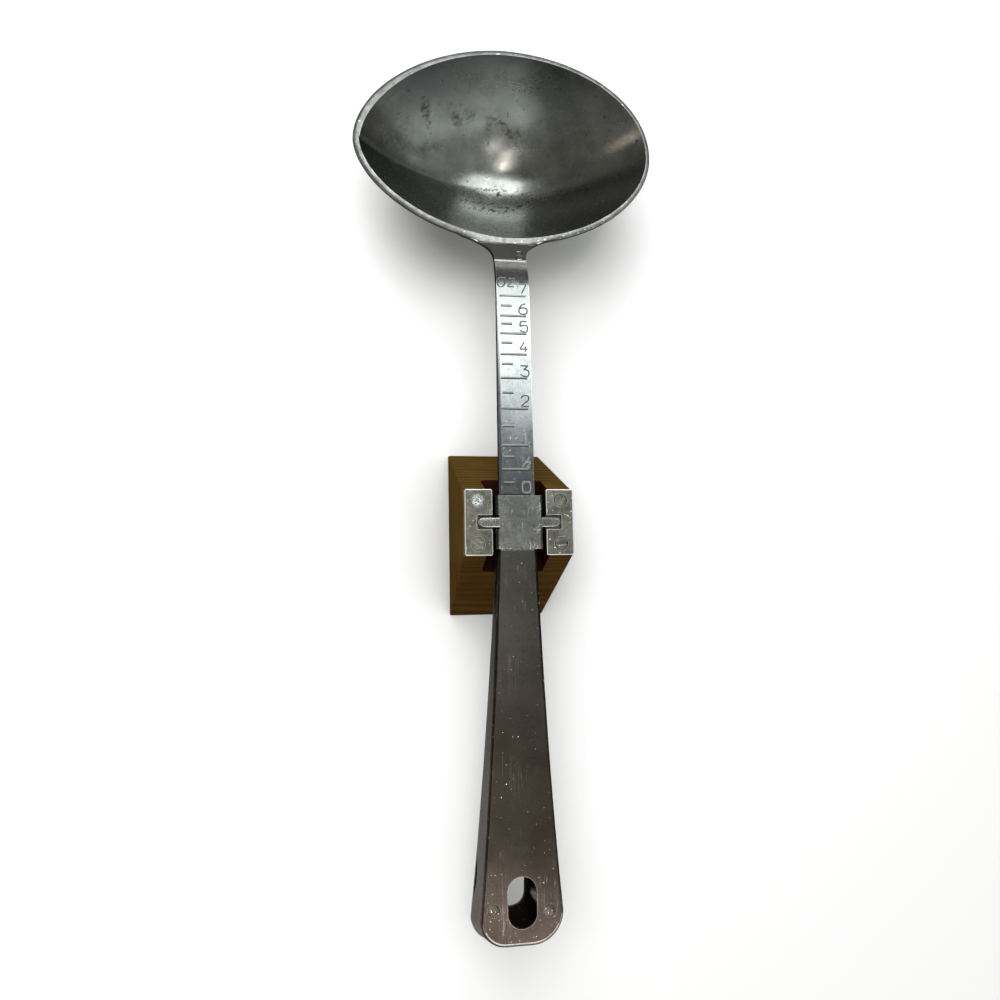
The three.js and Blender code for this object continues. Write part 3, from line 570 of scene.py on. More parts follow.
def spoonBody():
    bm = bmesh.new()
    ringMark = bm.verts.layers.int.new("ring")
    columnMark = bm.verts.layers.float.new("column")
    rings = bowlRings()
    last = len(rings) - 1
    line = [bm.verts.new((0 if index in (0, last) else 1, 0, index)) for index in range(last + 1)]
    edges = [bm.edges.new(pair) for pair in zip(line, line[1:])]
    bmesh.ops.spin(bm, geom=line + edges, cent=(0, 0, 0), axis=(0, 0, 1), angle=2 * math.pi,
                   steps=bowl["turns"], use_merge=True)
    bmesh.ops.remove_doubles(bm, verts=bm.verts, dist=0.001)
    turning = bm.loops.layers.uv.new("turning")
    for face in bm.faces:
        middleAngle = math.atan2(face.calc_center_median().y, face.calc_center_median().x)
        for loop in face.loops:
            spot = loop.vert.co
            angle = math.atan2(spot.y, spot.x) if spot.xy.length > 0.5 else middleAngle
            wrap = round((middleAngle - angle) / (2 * math.pi))
            loop[turning].uv = (spot.z / bowl["innerRings"], angle / (2 * math.pi) + wrap)
    wallTop = bowl["innerRings"] + 1 + bowl["beadSteps"]
    for vert in bm.verts:
        vert[ringMark] = round(vert.co.z)
        share, grow, level = rings[vert[ringMark]]
        outward = ovalPoint(math.atan2(vert.co.y, vert.co.x), grow) * share
        if vert[ringMark] <= bowl["innerRings"]:
            outward.x += bowl["innerShift"] * share
            wide = math.degrees(math.atan2(vert.co.y, vert.co.x)) - bowl["broadRimAt"]
            outward *= 1 - bowl["broadRim"] * share * math.exp(-(wide / bowl["broadRimSpan"]) ** 2)
        elif vert[ringMark] <= wallTop and outward.y < 0:
            level *= eased(abs(outward.x), beam["neckHalf"] + 2, beam["neckHalf"] + beam["neckFlare"])
        vert.co = outward + Vector((beamX, bowl["middle"], rimTop + level))
    for face in bm.faces:
        deepest = max(vert[ringMark] for vert in face.verts)
        face.material_index = 0 if deepest <= bowl["innerRings"] else 4 if deepest <= wallTop + 1 else 3

    # the strip grows row by row out of the near rim's outer wall
    half = beam["neckHalf"]
    flareX = half + beam["neckFlare"]
    strip = [face for face in bm.faces
             if {vert[ringMark] for vert in face.verts} == {wallTop, wallTop + 1}
             and max(vert.co.y for vert in face.verts) < bowl["middle"]
             and max(abs(vert.co.x - beamX) for vert in face.verts) < flareX + 0.5]
    flareX = max(abs(vert.co.x - beamX) for face in strip for vert in face.verts)
    flareY = max(vert.co.y for face in strip for vert in face.verts)
    for face in strip:
        face.material_index = 1
        for vert in face.verts:
            vert[columnMark] = (vert.co.x - beamX) / flareX
    flareStart = nearRim - beam["neckLength"]
    edgeCurve = bend((flareX, flareY), (half, nearRim + beam["neckRound"]), (half, flareStart),
                     beam["neckRows"])
    rows = []
    for step, (edgeX, edgeY) in enumerate(edgeCurve[1:], 1):
        share = step / beam["neckRows"]
        rows.append((edgeX, edgeY, nearRim + (flareStart - nearRim) * share, share))
    bendStart = nearRim - beam["bendLength"]
    steps = range(1, beam["bendRows"] + 1)
    ends = [flareStart + (bendStart - flareStart) * step / beam["bendRows"] for step in steps]
    for y in ends + [handleFront]:
        taper = (flareStart - y) / (flareStart - handleFront)
        rows.append((half + (beam["half"] - half) * taper, y, y, 1.0))
    for edgeX, edgeY, middleY, share in rows:
        thickness = bowl["rimHeight"] + (beam["thickness"] - bowl["rimHeight"]) * share
        strip, moved = growRow(bm, strip)
        for vert in moved:
            column = vert[columnMark]
            y = middleY + (edgeY - middleY) * column ** 2
            # the left edge is worn rounder, most of all near the sleeve
            worn = min(max(1 - (1 + column) * edgeX / beam["leftRound"], 0), 1) ** 2 * beam["leftDrop"]
            worn *= eased(y, nearRim, handleFront)
            drop = worn if vert[ringMark] == wallTop else thickness
            vert.co = (beamX + column * edgeX, y, bendLevel(y) - drop)
    tangY = bowlLow.y
    floor = handle["coverSheet"] + fitGap
    for y, drop in ((handleFront, beam["tangDrop"]), (tangY, beam["tangDrop"])):
        strip, moved = growRow(bm, strip)
        for vert in moved:
            low = min(coverLevel(y) + floor, beamTop - beam["thickness"] + 2 * beam["tangDrop"])
            level = beamTop - drop if vert[ringMark] == wallTop else low
            vert.co = (beamX + vert[columnMark] * beam["tangWidth"] / 2, y, level)
    bmesh.ops.recalc_face_normals(bm, faces=bm.faces)
    return bm


def growRow(bm, faces):
    grown = bmesh.ops.extrude_face_region(bm, geom=faces)["geom"]
    bmesh.ops.delete(bm, geom=faces, context="FACES")
    fresh = [item for item in grown if isinstance(item, bmesh.types.BMFace)]
    return fresh, [item for item in grown if isinstance(item, bmesh.types.BMVert)]


scale = {
    "zero": sleeveHigh.y, "groove": 1.1, "depth": 0.42,
    "wholeLines": [0.4, 10.8, 20.7, 36.0, 48.8, 58.8, 67.6, 75.1, 83.7],
    "halfLines": [5.3, 15.9, 28.7, 42.6, 54.7, 63.6, 71.7, 79.4],
    "wholeFrom": -5.5, "wholeTo": 5.7, "halfFrom": -5.0, "halfTo": -0.3, "neckLine": 100.2,
    "digits": ["0", "half", "1", "2", "3", "4", "5", "6", "7"], "digitSize": (3.2, 4.2), "digitX": 4.4,
    "digitGap": 1.0, "eightAt": 101.1, "unitAt": 87.6, "unitSize": (2.9, 3.9), "unitX": -4.4, "unitStep": 4.2,
    "unitLean": 0.25, "cutter": 0.42, "cutterLift": 0.15, "brightBelow": 30.0}
strokes = {
    # pull points of every pen stroke, in a box one wide and one high
    "0": [[(0.5, 1.05), (1.05, 1.05), (1.05, -0.05), (-0.05, -0.05), (-0.05, 1.05), (0.5, 1.05)]],
    "1": [[(0.25, 0.8), (0.55, 1)], [(0.55, 1), (0.55, 0)]],
    "2": [[(0, 0.75), (0.1, 1.05), (1, 1.1), (1, 0.6), (0.4, 0.3), (0, 0)], [(0, 0), (1, 0)]],
    "3": [[(0, 1), (1, 1)], [(1, 1), (0.4, 0.6)],
          [(0.4, 0.6), (1.1, 0.65), (1.1, -0.05), (0.4, -0.1), (0, 0.15)]],
    "4": [[(0.55, 1), (0, 0.3)], [(0, 0.3), (1, 0.3)], [(0.7, 0.6), (0.7, 0)]],
    "5": [[(0.95, 1), (0.15, 1)], [(0.15, 1), (0.05, 0.5)],
          [(0.05, 0.5), (1.05, 0.8), (1.05, -0.1), (0.3, -0.05), (0, 0.12)]],
    "6": [[(0.85, 0.98), (0.15, 1.05), (-0.05, 0.3)],
          [(-0.05, 0.6), (-0.05, -0.05), (1.05, -0.05), (1.05, 0.6), (-0.05, 0.6)]],
    "7": [[(0, 1), (1, 1)], [(1, 1), (0.35, 0)]],
    "8": [[(0.05, 0.55), (0.05, 1.05), (0.95, 1.05), (0.95, 0.55), (0.05, 0.55)],
          [(-0.05, 0.5), (-0.05, -0.05), (1.05, -0.05), (1.05, 0.5), (-0.05, 0.5)]],
    "half": [[(0, 0), (1, 1)], [(0.1, 1), (0.1, 0.55)],
             [(0.6, 0.4), (0.65, 0.55), (1.1, 0.5), (0.9, 0.2), (0.6, 0)], [(0.6, 0), (1, 0)]],
    "Z": [[(0, 1), (1, 1)], [(1, 1), (0, 0)], [(0, 0), (1, 0)]],
    ".": [[(0, 0), (0.1, 0.06)]]}


def grooves():
    # V-shaped cuts across the beam
    lines = [(scale["wholeFrom"], scale["wholeTo"], at) for at in scale["wholeLines"]]
    lines += [(scale["halfFrom"], scale["halfTo"], at) for at in scale["halfLines"]]
    lines.append((-beam["half"] - overcut, beam["half"] + overcut, scale["neckLine"]))
    cutters = []
    for start, end, at in lines:
        y = scale["zero"] + at
        top = bendLevel(y)
        half = scale["groove"] / 2
        outline = [(beamX + start, y - 2 * half, top + scale["depth"]),
                   (beamX + start, y + 2 * half, top + scale["depth"]),
                   (beamX + start, y, top - scale["depth"])]
        wedge = slab(outline, (end - start, 0, 0))
        # the neck line's groove is bright on every wall: rubbed metal with a painted highlight
        bright = at == scale["neckLine"]
        cutters.append(cutMetals(asObject("groove", wedge, bareMetal if bright else grimeAndShadeMetal, bareMetal)))
    return cutters


def cutMetals(cutter):
    # walls on the bowl's side are rubbed bright and carry a painted highlight, the others hold grime and
    # painted shade
    for face in cutter.data.polygons:
        face.material_index = 1 if face.normal.y > 0.3 else 0
    return cutter


def stroke(points):
    # a round cutter drawn along pull points
    curve = bpy.data.curves.new("stroke", "CURVE")
    curve.dimensions = "3D"
    curve.bevel_depth = scale["cutter"]
    curve.bevel_resolution = 1
    curve.use_fill_caps = True
    line = curve.splines.new("NURBS")
    line.use_cyclic_u = points[0] == points[-1]
    if line.use_cyclic_u:
        points = points[:-1]
    line.points.add(len(points) - 1)
    for pull, (x, y) in zip(line.points, points):
        pull.co = (x, y, bendLevel(y) + scale["cutterLift"], 1)
    line.order_u = min(3, len(points))
    line.use_endpoint_u = not line.use_cyclic_u
    line.resolution_u = 5
    drawn = bpy.data.objects.new("stroke", curve)
    bpy.context.scene.collection.objects.link(drawn)
    bpy.context.view_layer.update()
    mesh = bpy.data.meshes.new_from_object(drawn.evaluated_get(bpy.context.evaluated_depsgraph_get()))
    bpy.data.objects.remove(drawn)
    bm = bmesh.new()
    bm.from_mesh(mesh)
    bpy.data.meshes.remove(mesh)
    bmesh.ops.remove_doubles(bm, verts=bm.verts, dist=0.002)
    bmesh.ops.recalc_face_normals(bm, faces=bm.faces)
    bright = points[0][1] < scale["zero"] + scale["brightBelow"]    # rubbed by the sleeve, and lit brighter there as a painted highlight
    return cutMetals(asObject("stroke", bm, rimMetal if bright else penMetal, bareMetal))


farBlock = (900, 0, 0), (901, 1, 1)    # well away from every piece


def lettering():
    # plain numbers beside the lines, and the unit near the neck
    words = [(word, scale["digitX"], at + scale["digitGap"], scale["digitSize"], 0)
             for word, at in zip(scale["digits"], scale["wholeLines"])]
    words.append(("8", scale["digitX"], scale["eightAt"], scale["unitSize"], 0))
    for step, word in enumerate("0Z."):
        words.append((word, scale["unitX"] + step * scale["unitStep"], scale["unitAt"], scale["unitSize"],
                      scale["unitLean"]))
    cutters = []
    for word, x, at, (wide, high), lean in words:
        middle, low = beamX + x, scale["zero"] + at
        for points in strokes[word]:
            made = stroke([(middle + (px - 0.5 + lean * (py - 0.5)) * wide, low + py * high)
                           for px, py in points])
            if word == "half" and len(points) > 2:
                # its tight bend crosses itself, and a cut that misses it makes it one clean body
                carve(made, [asObject("miss", block(*farBlock), bareMetal)], crossing=True)
            cutters.append(made)
    return cutters


spoon = asObject("spoon_bowl_and_beam", spoonBody(), bowlMetal, beamMetal, sideMetal, outsideMetal, rimMetal)
for face in spoon.data.polygons:
    if face.material_index in (1, 4) and face.normal.z < (0.75 if face.material_index == 1 else 0.3):
        face.material_index = 2    # painted shade: the steep sides get the dark side metal, the top keeps the polished one
carve(spoon, grooves())
carve(spoon, lettering())
finishPiece(spoon, "spoon", "bowl_aluminium", "bowl_and_beam")
print("spoon:", len(spoon.data.polygons), "faces")


# hollow handle: upper shell and sloping cover

def handlePlan(inset=0.0, front=None):
    # outline seen from above, from the mouth's right corner round the end to its left corner
    wide = handle["endHalf"] - inset
    mouth = handleFront if front is None else front
    sides = []
    for corner in (handle["rightCorner"] - inset, handle["leftCorner"] - inset):
        cornerY = handleEnd + inset + corner
        side = bend((handle["frontHalf"] - inset, handleFront),
                    (handle["flareHalf"] - inset, handleFront - handle["flareLength"]), (wide, cornerY), 24)
        sides.append(side + arc((wide - corner, cornerY), corner, 0, -90, 14)[1:])
    right = sides[0]
    left = [(-x, y) for x, y in reversed(sides[1])]
    if mouth > handleFront:
        right.insert(0, (right[0][0], mouth))
        left.append((left[-1][0], mouth))
    return [(skewed(y) + x, y) for x, y in right + left]


def skewed(y):
    # the handle's middle line runs a little to the left of the beam's
    return beamX + handle["skew"] * (handleFront - y) / (handleFront - handleEnd)


def slotCutter():
    half = handle["slotWidth"] / 2
    middle = handleEnd + handle["slotInset"] + handle["slotLength"] / 2
    straight = handle["slotLength"] / 2 - half
    x = skewed(middle)
    points = arc((x, middle + straight), half, 0, 180, 24) + arc((x, middle - straight), half, 180, 360, 24)
    bm = slab(atLevel(points, handle["slotCutLow"]), (0, 0, handle["slotCutRise"]))
    # the slot's walls take the bend metal, painted shade inside the slot
    return asObject("slot", bm, shadedBendMetal)


def slitCutter():
    # a low arch in the lower edge of both side walls
    half = handle["slitLength"] / 2
    radius = (half ** 2 + handle["slitHeight"] ** 2) / (2 * handle["slitHeight"])
    y = handleEnd + handle["slitInset"] + half
    z = coverLevel(y) + handle["coverSheet"] + handle["slitHeight"] - radius
    bm = bmesh.new()
    bmesh.ops.create_cone(bm, cap_ends=True, segments=96, radius1=radius, radius2=radius,
                          depth=handle["slitCut"])
    bmesh.ops.rotate(bm, cent=(0, 0, 0), matrix=Matrix.Rotation(math.pi / 2, 3, "Y"), verts=bm.verts)
    bmesh.ops.translate(bm, vec=(beamX, y, z), verts=bm.verts)
    return asObject("slit", bm, handleMetal)


endRivet = {
    "radius": 1.7, "headRadius": 2.3, "sink": 0.6, "seam": 0.15, "crown": 0.12, "roomDepth": 45,
    "left": (-12.1, 13.8), "right": (9.8, 12.4)}    # places from the beam's middle line and the end
tangRivet = {
    "radius": 1.5, "headRadius": 2.5, "headHeight": 0.9, "depth": 2.0, "inset": 11.0, "spacing": 18.0}
tangRivetPlaces = {
    "tang_rivet_front": handleFront - tangRivet["inset"],
    "tang_rivet_rear": handleFront - tangRivet["inset"] - tangRivet["spacing"]}


def endRivetSpot(side):
    x, y = endRivet[side]
    return beamX + x, handleEnd + y


def endRivetRoom(side):
    seam = endRivet["seam"]
    shank = endRivet["radius"] + seam
    head = endRivet["headRadius"] + seam
    deep = -endRivet["roomDepth"]
    profile = [(0, deep), (shank, deep), (shank, -endRivet["sink"] - seam), (head, 0), (head, overcut),
               (0, overcut)]
    return asObject("rivet room", turned(profile, (*endRivetSpot(side), handleTop)), handleMetal)


def handleShell():
    depth = handle["skirt"]
    top = atLevel(handlePlan(front=handleFront + overcut), handleTop)
    bm = slab(top, (0, -handle["lean"] * depth, -depth))
    topEdges = [edge for edge in bm.edges if all(vert.co.z > handleTop - 0.01 for vert in edge.verts)]
    bmesh.ops.bevel(bm, geom=topEdges, offset=handle["bend"], offset_type="OFFSET", segments=6, profile=0.5,
                    affect="EDGES", material=-1)
    # the lower edge follows the cover, and the mouth is open
    seat = coverLevel(handleFront) + handle["coverSheet"] + handle["seam"]
    slope = Vector((0, -handle["taper"], 1)).normalized()
    for spot, normal in (((0, handleFront, seat), slope), ((0, handleFront, 0), Vector((0, -1, 0)))):
        bmesh.ops.bisect_plane(bm, geom=bm.verts[:] + bm.edges[:] + bm.faces[:], plane_co=spot,
                               plane_no=normal, clear_inner=True)
    bmesh.ops.recalc_face_normals(bm, faces=bm.faces)
    shell = asObject("handle_upper_shell", bm, handleMetal, rubbedLitMetal, shadedBendMetal, litWallMetal)
    wall = shell.modifiers.new("wall", "SOLIDIFY")
    wall.thickness = handle["sheet"] * mm
    wall.offset = -1
    wall.use_even_offset = True
    settle(shell)
    carve(shell, [slotCutter(), slitCutter(), endRivetRoom("left"), endRivetRoom("right")])
    for face in shell.data.polygons:
        steep = face.normal.z
        if face.material_index == 0 and abs(steep) < 0.995:
            # painted light by facing: the long bends and the end wall get painted shade, the bend round the
            # end is rubbed and carries a painted highlight, the walls get painted light
            rubbed = face.normal.y < -0.06 and steep > 0.85
            shaded = steep > 0.1 or face.normal.y < -0.6
            face.material_index = 1 if rubbed else 2 if shaded else 3
    return shell


def handleCover():
    outline = []
    for x, y in handlePlan(front=handleFront + overcut):
        low = (y - handle["lean"] * (handle["frontThickness"] + handle["taper"] * handleFront))
        low /= 1 - handle["lean"] * handle["taper"]
        outline.append((x, low, coverLevel(low)))
    cover = asObject("handle_lower_cover", slab(outline, (0, 0, handle["coverSheet"])), handleMetal)
    mouth = block((-3 * overcut, handleFront, 0), (3 * overcut, handleFront + 3 * overcut, 2 * handleTop))
    cutters = [slotCutter(), endRivetRoom("left"), endRivetRoom("right"), asObject("mouth", mouth)]
    for y in tangRivetPlaces.values():
        hole = tangRivet["radius"] + fitGap
        profile = [(0, -overcut), (hole, -overcut), (hole, overcut), (0, overcut)]
        cutters.append(asObject("hole", turned(profile, (beamX, y, coverLevel(y))), handleMetal))
    carve(cover, cutters)
    easeEdges(cover, handle["coverEdge"], 2, 40)
    return cover


finishPiece(handleShell(), "spoon", "handle_aluminium", "handle_top_shell")
finishPiece(handleCover(), "spoon", "handle_aluminium", "handle_bottom_cover")
print("handle shell and cover ready")


# rivets through the handle

for side in ("left", "right"):
    x, y = endRivetSpot(side)
    crown, head = endRivet["crown"], endRivet["headRadius"]
    foot = coverLevel(y) - handleTop
    shank = endRivet["radius"]
    profile = [(0, crown), (head * 0.4, crown * 0.9), (head * 0.75, crown * 0.55), (head * 0.95, 0.0),
               (head, -0.12), (shank, -endRivet["sink"]), (shank, foot + 0.2), (shank - 0.2, foot), (0, foot)]
    rivet = asObject("handle_rivet_" + side, turned(profile, (x, y, handleTop)), rivetMetal)
    finishPiece(rivet, "spoon", "rivet_aluminium", "end_rivet_" + side)
    # the tube round its shank holds shell and cover apart
    low, high = boxOf("rivet_spacer_" + side)
    bottom, hole, outer = low.z + fitGap, shank + fitGap, (high.x - low.x) / 2
    profile = [(hole, bottom), (outer, bottom), (outer, high.z), (hole, high.z), (hole, bottom)]
    tube = asObject("rivet_tube_" + side, turned(profile, (x, y, 0)), rivetMetal)
    finishPiece(tube, "spoon", "rivet_aluminium", "rivet_spacer_" + side)

for name, y in tangRivetPlaces.items():
    head, high = tangRivet["headRadius"], tangRivet["headHeight"]
    top = handle["coverSheet"] + fitGap + tangRivet["depth"]
    seam, shank = handle["seam"], tangRivet["radius"]
    profile = [(x * head, z * (high - seam) - seam) for x, z in arc((0, 0), 1.0, -90, 0, 8)]
    profile += [(shank, -seam), (shank, top), (0, top)]
    rivet = asObject(name + "_domed", turned(profile, (beamX, y, coverLevel(y))), rivetMetal)
    finishPiece(rivet, "spoon", "rivet_aluminium", name)
print("rivets ready")


# wooden stand

stand = {
    "topLength": 27.2, "saddleHalf": 12.8, "saddleDepth": 15.5, "saddleCorner": 2.6, "edge": 0.7,
    "footLeft": 1.7, "footFront": 1.2, "footBack": 0.4}


woodLook = {
    "early": (0.098, 0.058, 0.016), "late": (0.063, 0.035, 0.008), "pore": (0.025, 0.012, 0.003),
    "worn": (0.1, 0.054, 0.018), "front": (0.064, 0.026, 0.0065), "edge": (0.13, 0.085, 0.035),
    "grain": (0.12, 1, 1), "heart": (0, -0.018, 0.05), "drift": 0.02, "rings": 300.0,
    "stainShadeDark": (0.005, 0.0014, 0.001), "stainShadeLight": (0.022, 0.0055, 0.004)}


def woodFinish():
    material, tree, shader = startMaterial("varnished wood")
    spot = objectSpot(tree)
    long = mapped(tree, spot, woodLook["grain"])    # the grain runs along X
    figure = cloud(tree, long, 60, 5.0, 0.55)
    # year rings lie round a far heart
    heart = mapped(tree, spot, (0, 1, 1), shift=woodLook["heart"])
    drift = combine(tree, "MULTIPLY", cloud(tree, long, 28, 1.0, 0.4), woodLook["drift"])
    wavy = combine(tree, "ADD", vectorMath(tree, "LENGTH", heart), drift)
    wave = combine(tree, "FRACT", combine(tree, "MULTIPLY", wavy, woodLook["rings"]))
    rings = ranged(tree, combine(tree, "ABSOLUTE", combine(tree, "SUBTRACT", wave, 0.5)), 0.05, 0.45)
    pores = ranged(tree, cloud(tree, mapped(tree, spot, (0.03, 1, 1)), 1400, 2.0, 0.6), 0.56, 0.7)
    wear = cloud(tree, spot, 55, 4.0, 0.6)
    colour = tint(tree, rings, woodLook["early"], woodLook["late"])
    colour = tint(tree, combine(tree, "MULTIPLY", pores, 0.6), colour, woodLook["pore"])
    colour = tint(tree, ranged(tree, wear, 0.5, 0.8), colour, woodLook["worn"])
    front = ranged(tree, alongAxis(tree, spot, "Y"), -12 * mm, -17 * mm)
    reddened = combine(tree, "MULTIPLY", front, ranged(tree, figure, 0.3, 0.7, 0.3, 0.8))
    colour = tint(tree, reddened, colour, woodLook["front"])
    colour = tint(tree, combine(tree, "MULTIPLY", wornEdges(tree, 0.9), 0.5), colour, woodLook["edge"])
    tree.links.new(colour, shader.inputs["Base Color"])
    tree.links.new(ranged(tree, wear, 0.3, 0.7, 0.5, 0.7), shader.inputs["Roughness"])
    relief = combine(tree, "SUBTRACT", combine(tree, "MULTIPLY", rings, 0.3), pores)
    addRelief(tree, shader, relief, 0.25)
    shader.inputs["Specular IOR Level"].default_value = 0.0
    return material


def stainAndShadeFinish():
    # the saddle's walls are stained dark red, and darkened further as painted shade
    material, tree, shader = startMaterial("stained wood in painted shade")
    figure = cloud(tree, mapped(tree, objectSpot(tree), woodLook["grain"]), 90, 5.0, 0.6)
    colour = tint(tree, ranged(tree, figure, 0.3, 0.7), woodLook["stainShadeDark"], woodLook["stainShadeLight"])
    tree.links.new(colour, shader.inputs["Base Color"])
    tree.links.new(ranged(tree, figure, 0.3, 0.7, 0.4, 0.6), shader.inputs["Roughness"])
    addRelief(tree, shader, figure, 0.2)
    shader.inputs["Specular IOR Level"].default_value = 0.0
    return material


varnishedWood = woodFinish()
stainedShadedWood = stainAndShadeFinish()

screwNodes = {}
for side in ("left", "right"):
    for end in ("bowl", "handle"):
        node = "plate_screw_" + side + "_" + end + "_side"
        low, high = boxOf(node)
        screwNodes[node] = ((low.x + high.x) / 2, (low.y + high.y) / 2, high.z)

screw = {
    "headRadius": 2.65, "headHeight": 1.6, "shankRadius": 1.45, "length": 19.0, "point": 4.0, "room": 0.15,
    "slotWidth": 0.9, "crown": 0.15, "edge": 0.1}


def standBlock():
    outline = [(blockLow.x, blockLow.y - stand["footFront"], blockLow.z),
               (blockLow.x, blockHigh.y - stand["footBack"], blockLow.z),
               (blockLow.x, stand["topLength"] / 2, blockHigh.z),
               (blockLow.x, -stand["topLength"] / 2, blockHigh.z)]
    bm = slab(outline, (blockHigh.x - blockLow.x, 0, 0))
    for vert in bm.verts:
        if vert.co.z < 1 and vert.co.x < 0:
            vert.co.x += stand["footLeft"]    # the left wall leans in a little
    wood = asObject("wooden_stand", bm, varnishedWood)
    half = stand["saddleHalf"]
    floor = blockHigh.z - stand["saddleDepth"]
    section = roundedBox(-half, floor, half, blockHigh.z + overcut, stand["saddleCorner"], 8)
    saddle = slab([(x, blockLow.y - overcut, z) for x, z in section], (0, 2 * (blockHigh.y + overcut), 0))
    cutters = [asObject("saddle", saddle, stainedShadedWood)]
    for x, y, top in screwNodes.values():
        hole = screw["shankRadius"] + screw["room"]
        low = -screw["length"] - screw["room"]
        profile = [(0, low), (hole, low), (hole, overcut), (0, overcut)]
        cutters.append(asObject("pilot", turned(profile, (x, y, top), 24), varnishedWood))
    carve(wood, cutters)
    easeEdges(wood, stand["edge"], 3, 30)
    return wood


finishPiece(standBlock(), "stand", "varnished_wood", "stand_block")
print("stand ready")


# bearing plates

plate = {
    "corner": 0.8, "notchHalf": 2.95, "notchEnd": 17.4, "notchDepth": 1.4, "notchCorner": 0.7, "edge": 0.35}


def bearingPlate(side):
    low, high = boxOf("bearing_plate_" + side)
    outline = roundedBox(low.x, low.y, high.x, high.y, plate["corner"], 5)
    bm = slab(atLevel(outline, low.z), (0, 0, high.z - low.z))
    strip = asObject("notched_plate_" + side, bm, plateMetal, bareMetal)
    easeEdges(strip, plate["edge"], 2, 35, 1)
    inner, sign = (low.x, 1) if side == "right" else (high.x, -1)
    start, end = sorted((inner - sign * overcut, sign * plate["notchEnd"]))
    notch = roundedBox(start, -plate["notchHalf"], end, plate["notchHalf"], plate["notchCorner"], 4)
    bm = slab(atLevel(notch, high.z - plate["notchDepth"]), (0, 0, overcut))
    # the notch is dark: grime, and painted shade round the tongue
    cutters = [asObject("notch", bm, grimeAndShadeMetal)]
    for node, (x, y, top) in screwNodes.items():
        if side not in node:
            continue
        head = screw["headRadius"] + screw["room"]
        shank = screw["shankRadius"] + screw["room"]
        drop = -screw["headHeight"] - screw["room"]
        profile = [(0, -overcut), (shank, -overcut), (shank, drop), (head, 0), (head, overcut), (0, overcut)]
        # a thin dark ring of painted shade round each screw head
        cutters.append(asObject("countersink", turned(profile, (x, y, top)), grimeAndShadeMetal))
    carve(strip, cutters)
    return strip


for side in ("left", "right"):
    finishPiece(bearingPlate(side), "stand", "plate_steel", "bearing_plate_" + side)
print("plates ready")


# plate screws: three old slotted ones, and one replaced by a bright one with a cross recess

slotTurns = {
    "plate_screw_left_bowl_side": (20, 110), "plate_screw_left_handle_side": (-38,),
    "plate_screw_right_bowl_side": (62,), "plate_screw_right_handle_side": (4,)}
slotDepths = {
    "plate_screw_left_bowl_side": 0.7, "plate_screw_left_handle_side": 0.2,
    "plate_screw_right_bowl_side": 0.25, "plate_screw_right_handle_side": 0.6}


def woodScrew(node, metal):
    x, y, top = screwNodes[node]
    head, shank, crown = screw["headRadius"], screw["shankRadius"], screw["crown"]
    profile = [(0, crown * 0.4), (head * 0.6, crown * 0.25), (head * 0.93, 0.0), (head, -0.15),
               (shank, -screw["headHeight"]), (shank, screw["point"] - screw["length"]),
               (0, -screw["length"])]
    made = asObject(node.replace("plate_", ""), turned(profile, (x, y, top), 56), metal)
    crossed = len(slotTurns[node]) > 1
    reach = screw["shankRadius"] if crossed else head + fitGap
    half = screw["slotWidth"] / 2
    cutters = []
    for turn in slotTurns[node]:
        bm = block((-reach, -half, -slotDepths[node]), (reach, half, overcut))
        spin = Matrix.Rotation(math.radians(turn), 3, "Z")
        bmesh.ops.rotate(bm, cent=(0, 0, 0), matrix=spin, verts=bm.verts)
        bmesh.ops.translate(bm, vec=(x, y, top), verts=bm.verts)
        cutters.append(asObject("slot", bm, metal))
    carve(made, cutters)
    easeEdges(made, screw["edge"], 2, 40)
    mergePoints(made)
    return made


for node in screwNodes:
    bright = len(slotTurns[node]) > 1
    slotName = "bright_screw_steel" if bright else "plate_steel"
    finishPiece(woodScrew(node, brightScrewMetal if bright else screwMetal), "stand", slotName, node)
print("screws ready")


# sliding sleeve with its two tongues

sleeve = {
    "sheet": 1.1, "bend": 2.1, "lip": 5.0, "tongueWidth": 3.8, "tongueBevel": 0.7, "tipLength": 3.4,
    "relief": 1.1, "half": 10.3}


def sleeveBody():
    right, bottom, top = sleeve["half"], sleeveLow.z, sleeveHigh.z
    outerBend, innerBend = sleeve["bend"], sleeve["bend"] - sleeve["sheet"]
    lip = right - sleeve["lip"]
    flat = right - outerBend
    corners = [(flat, bottom + outerBend, -90), (flat, top - outerBend, 0),
               (-flat, top - outerBend, 90), (-flat, bottom + outerBend, 180)]
    section = [(lip, bottom)]
    for x, z, start in corners:
        section += arc((x, z), outerBend, start, start + 90, 6)
    section += [(-lip, bottom), (-lip, bottom + sleeve["sheet"])]
    for x, z, start in reversed(corners):
        section += arc((x, z), innerBend, start + 90, start, 6)
    section += [(lip, bottom + sleeve["sheet"])]
    length = sleeveHigh.y - sleeveLow.y
    bm = slab([(x, sleeveLow.y, z) for x, z in section], (0, length, 0))
    folded = asObject("folded_sleeve", bm, sleeveMetal, shadedSleeveBendMetal)
    window = sleeve["tongueWidth"] / 2 + sleeve["relief"]
    gap = block((-right - overcut, -window, bottom - overcut), (-flat, window, top + overcut))
    # the window's walls are dark with painted shade
    carve(folded, [asObject("window", gap, grimeAndShadeMetal)])
    carve(folded, [tongue(-1, flat), tongue(1, flat)], "UNION")
    # the sleeve's sides and bends get the dark metal: painted shade
    for face in folded.data.polygons:
        onSleeve = abs(face.center.x) < (right + 0.1) * mm
        if face.material_index == 0 and abs(face.normal.x) > 0.25 and onSleeve:
            face.material_index = 1
    mergePoints(folded)
    return folded


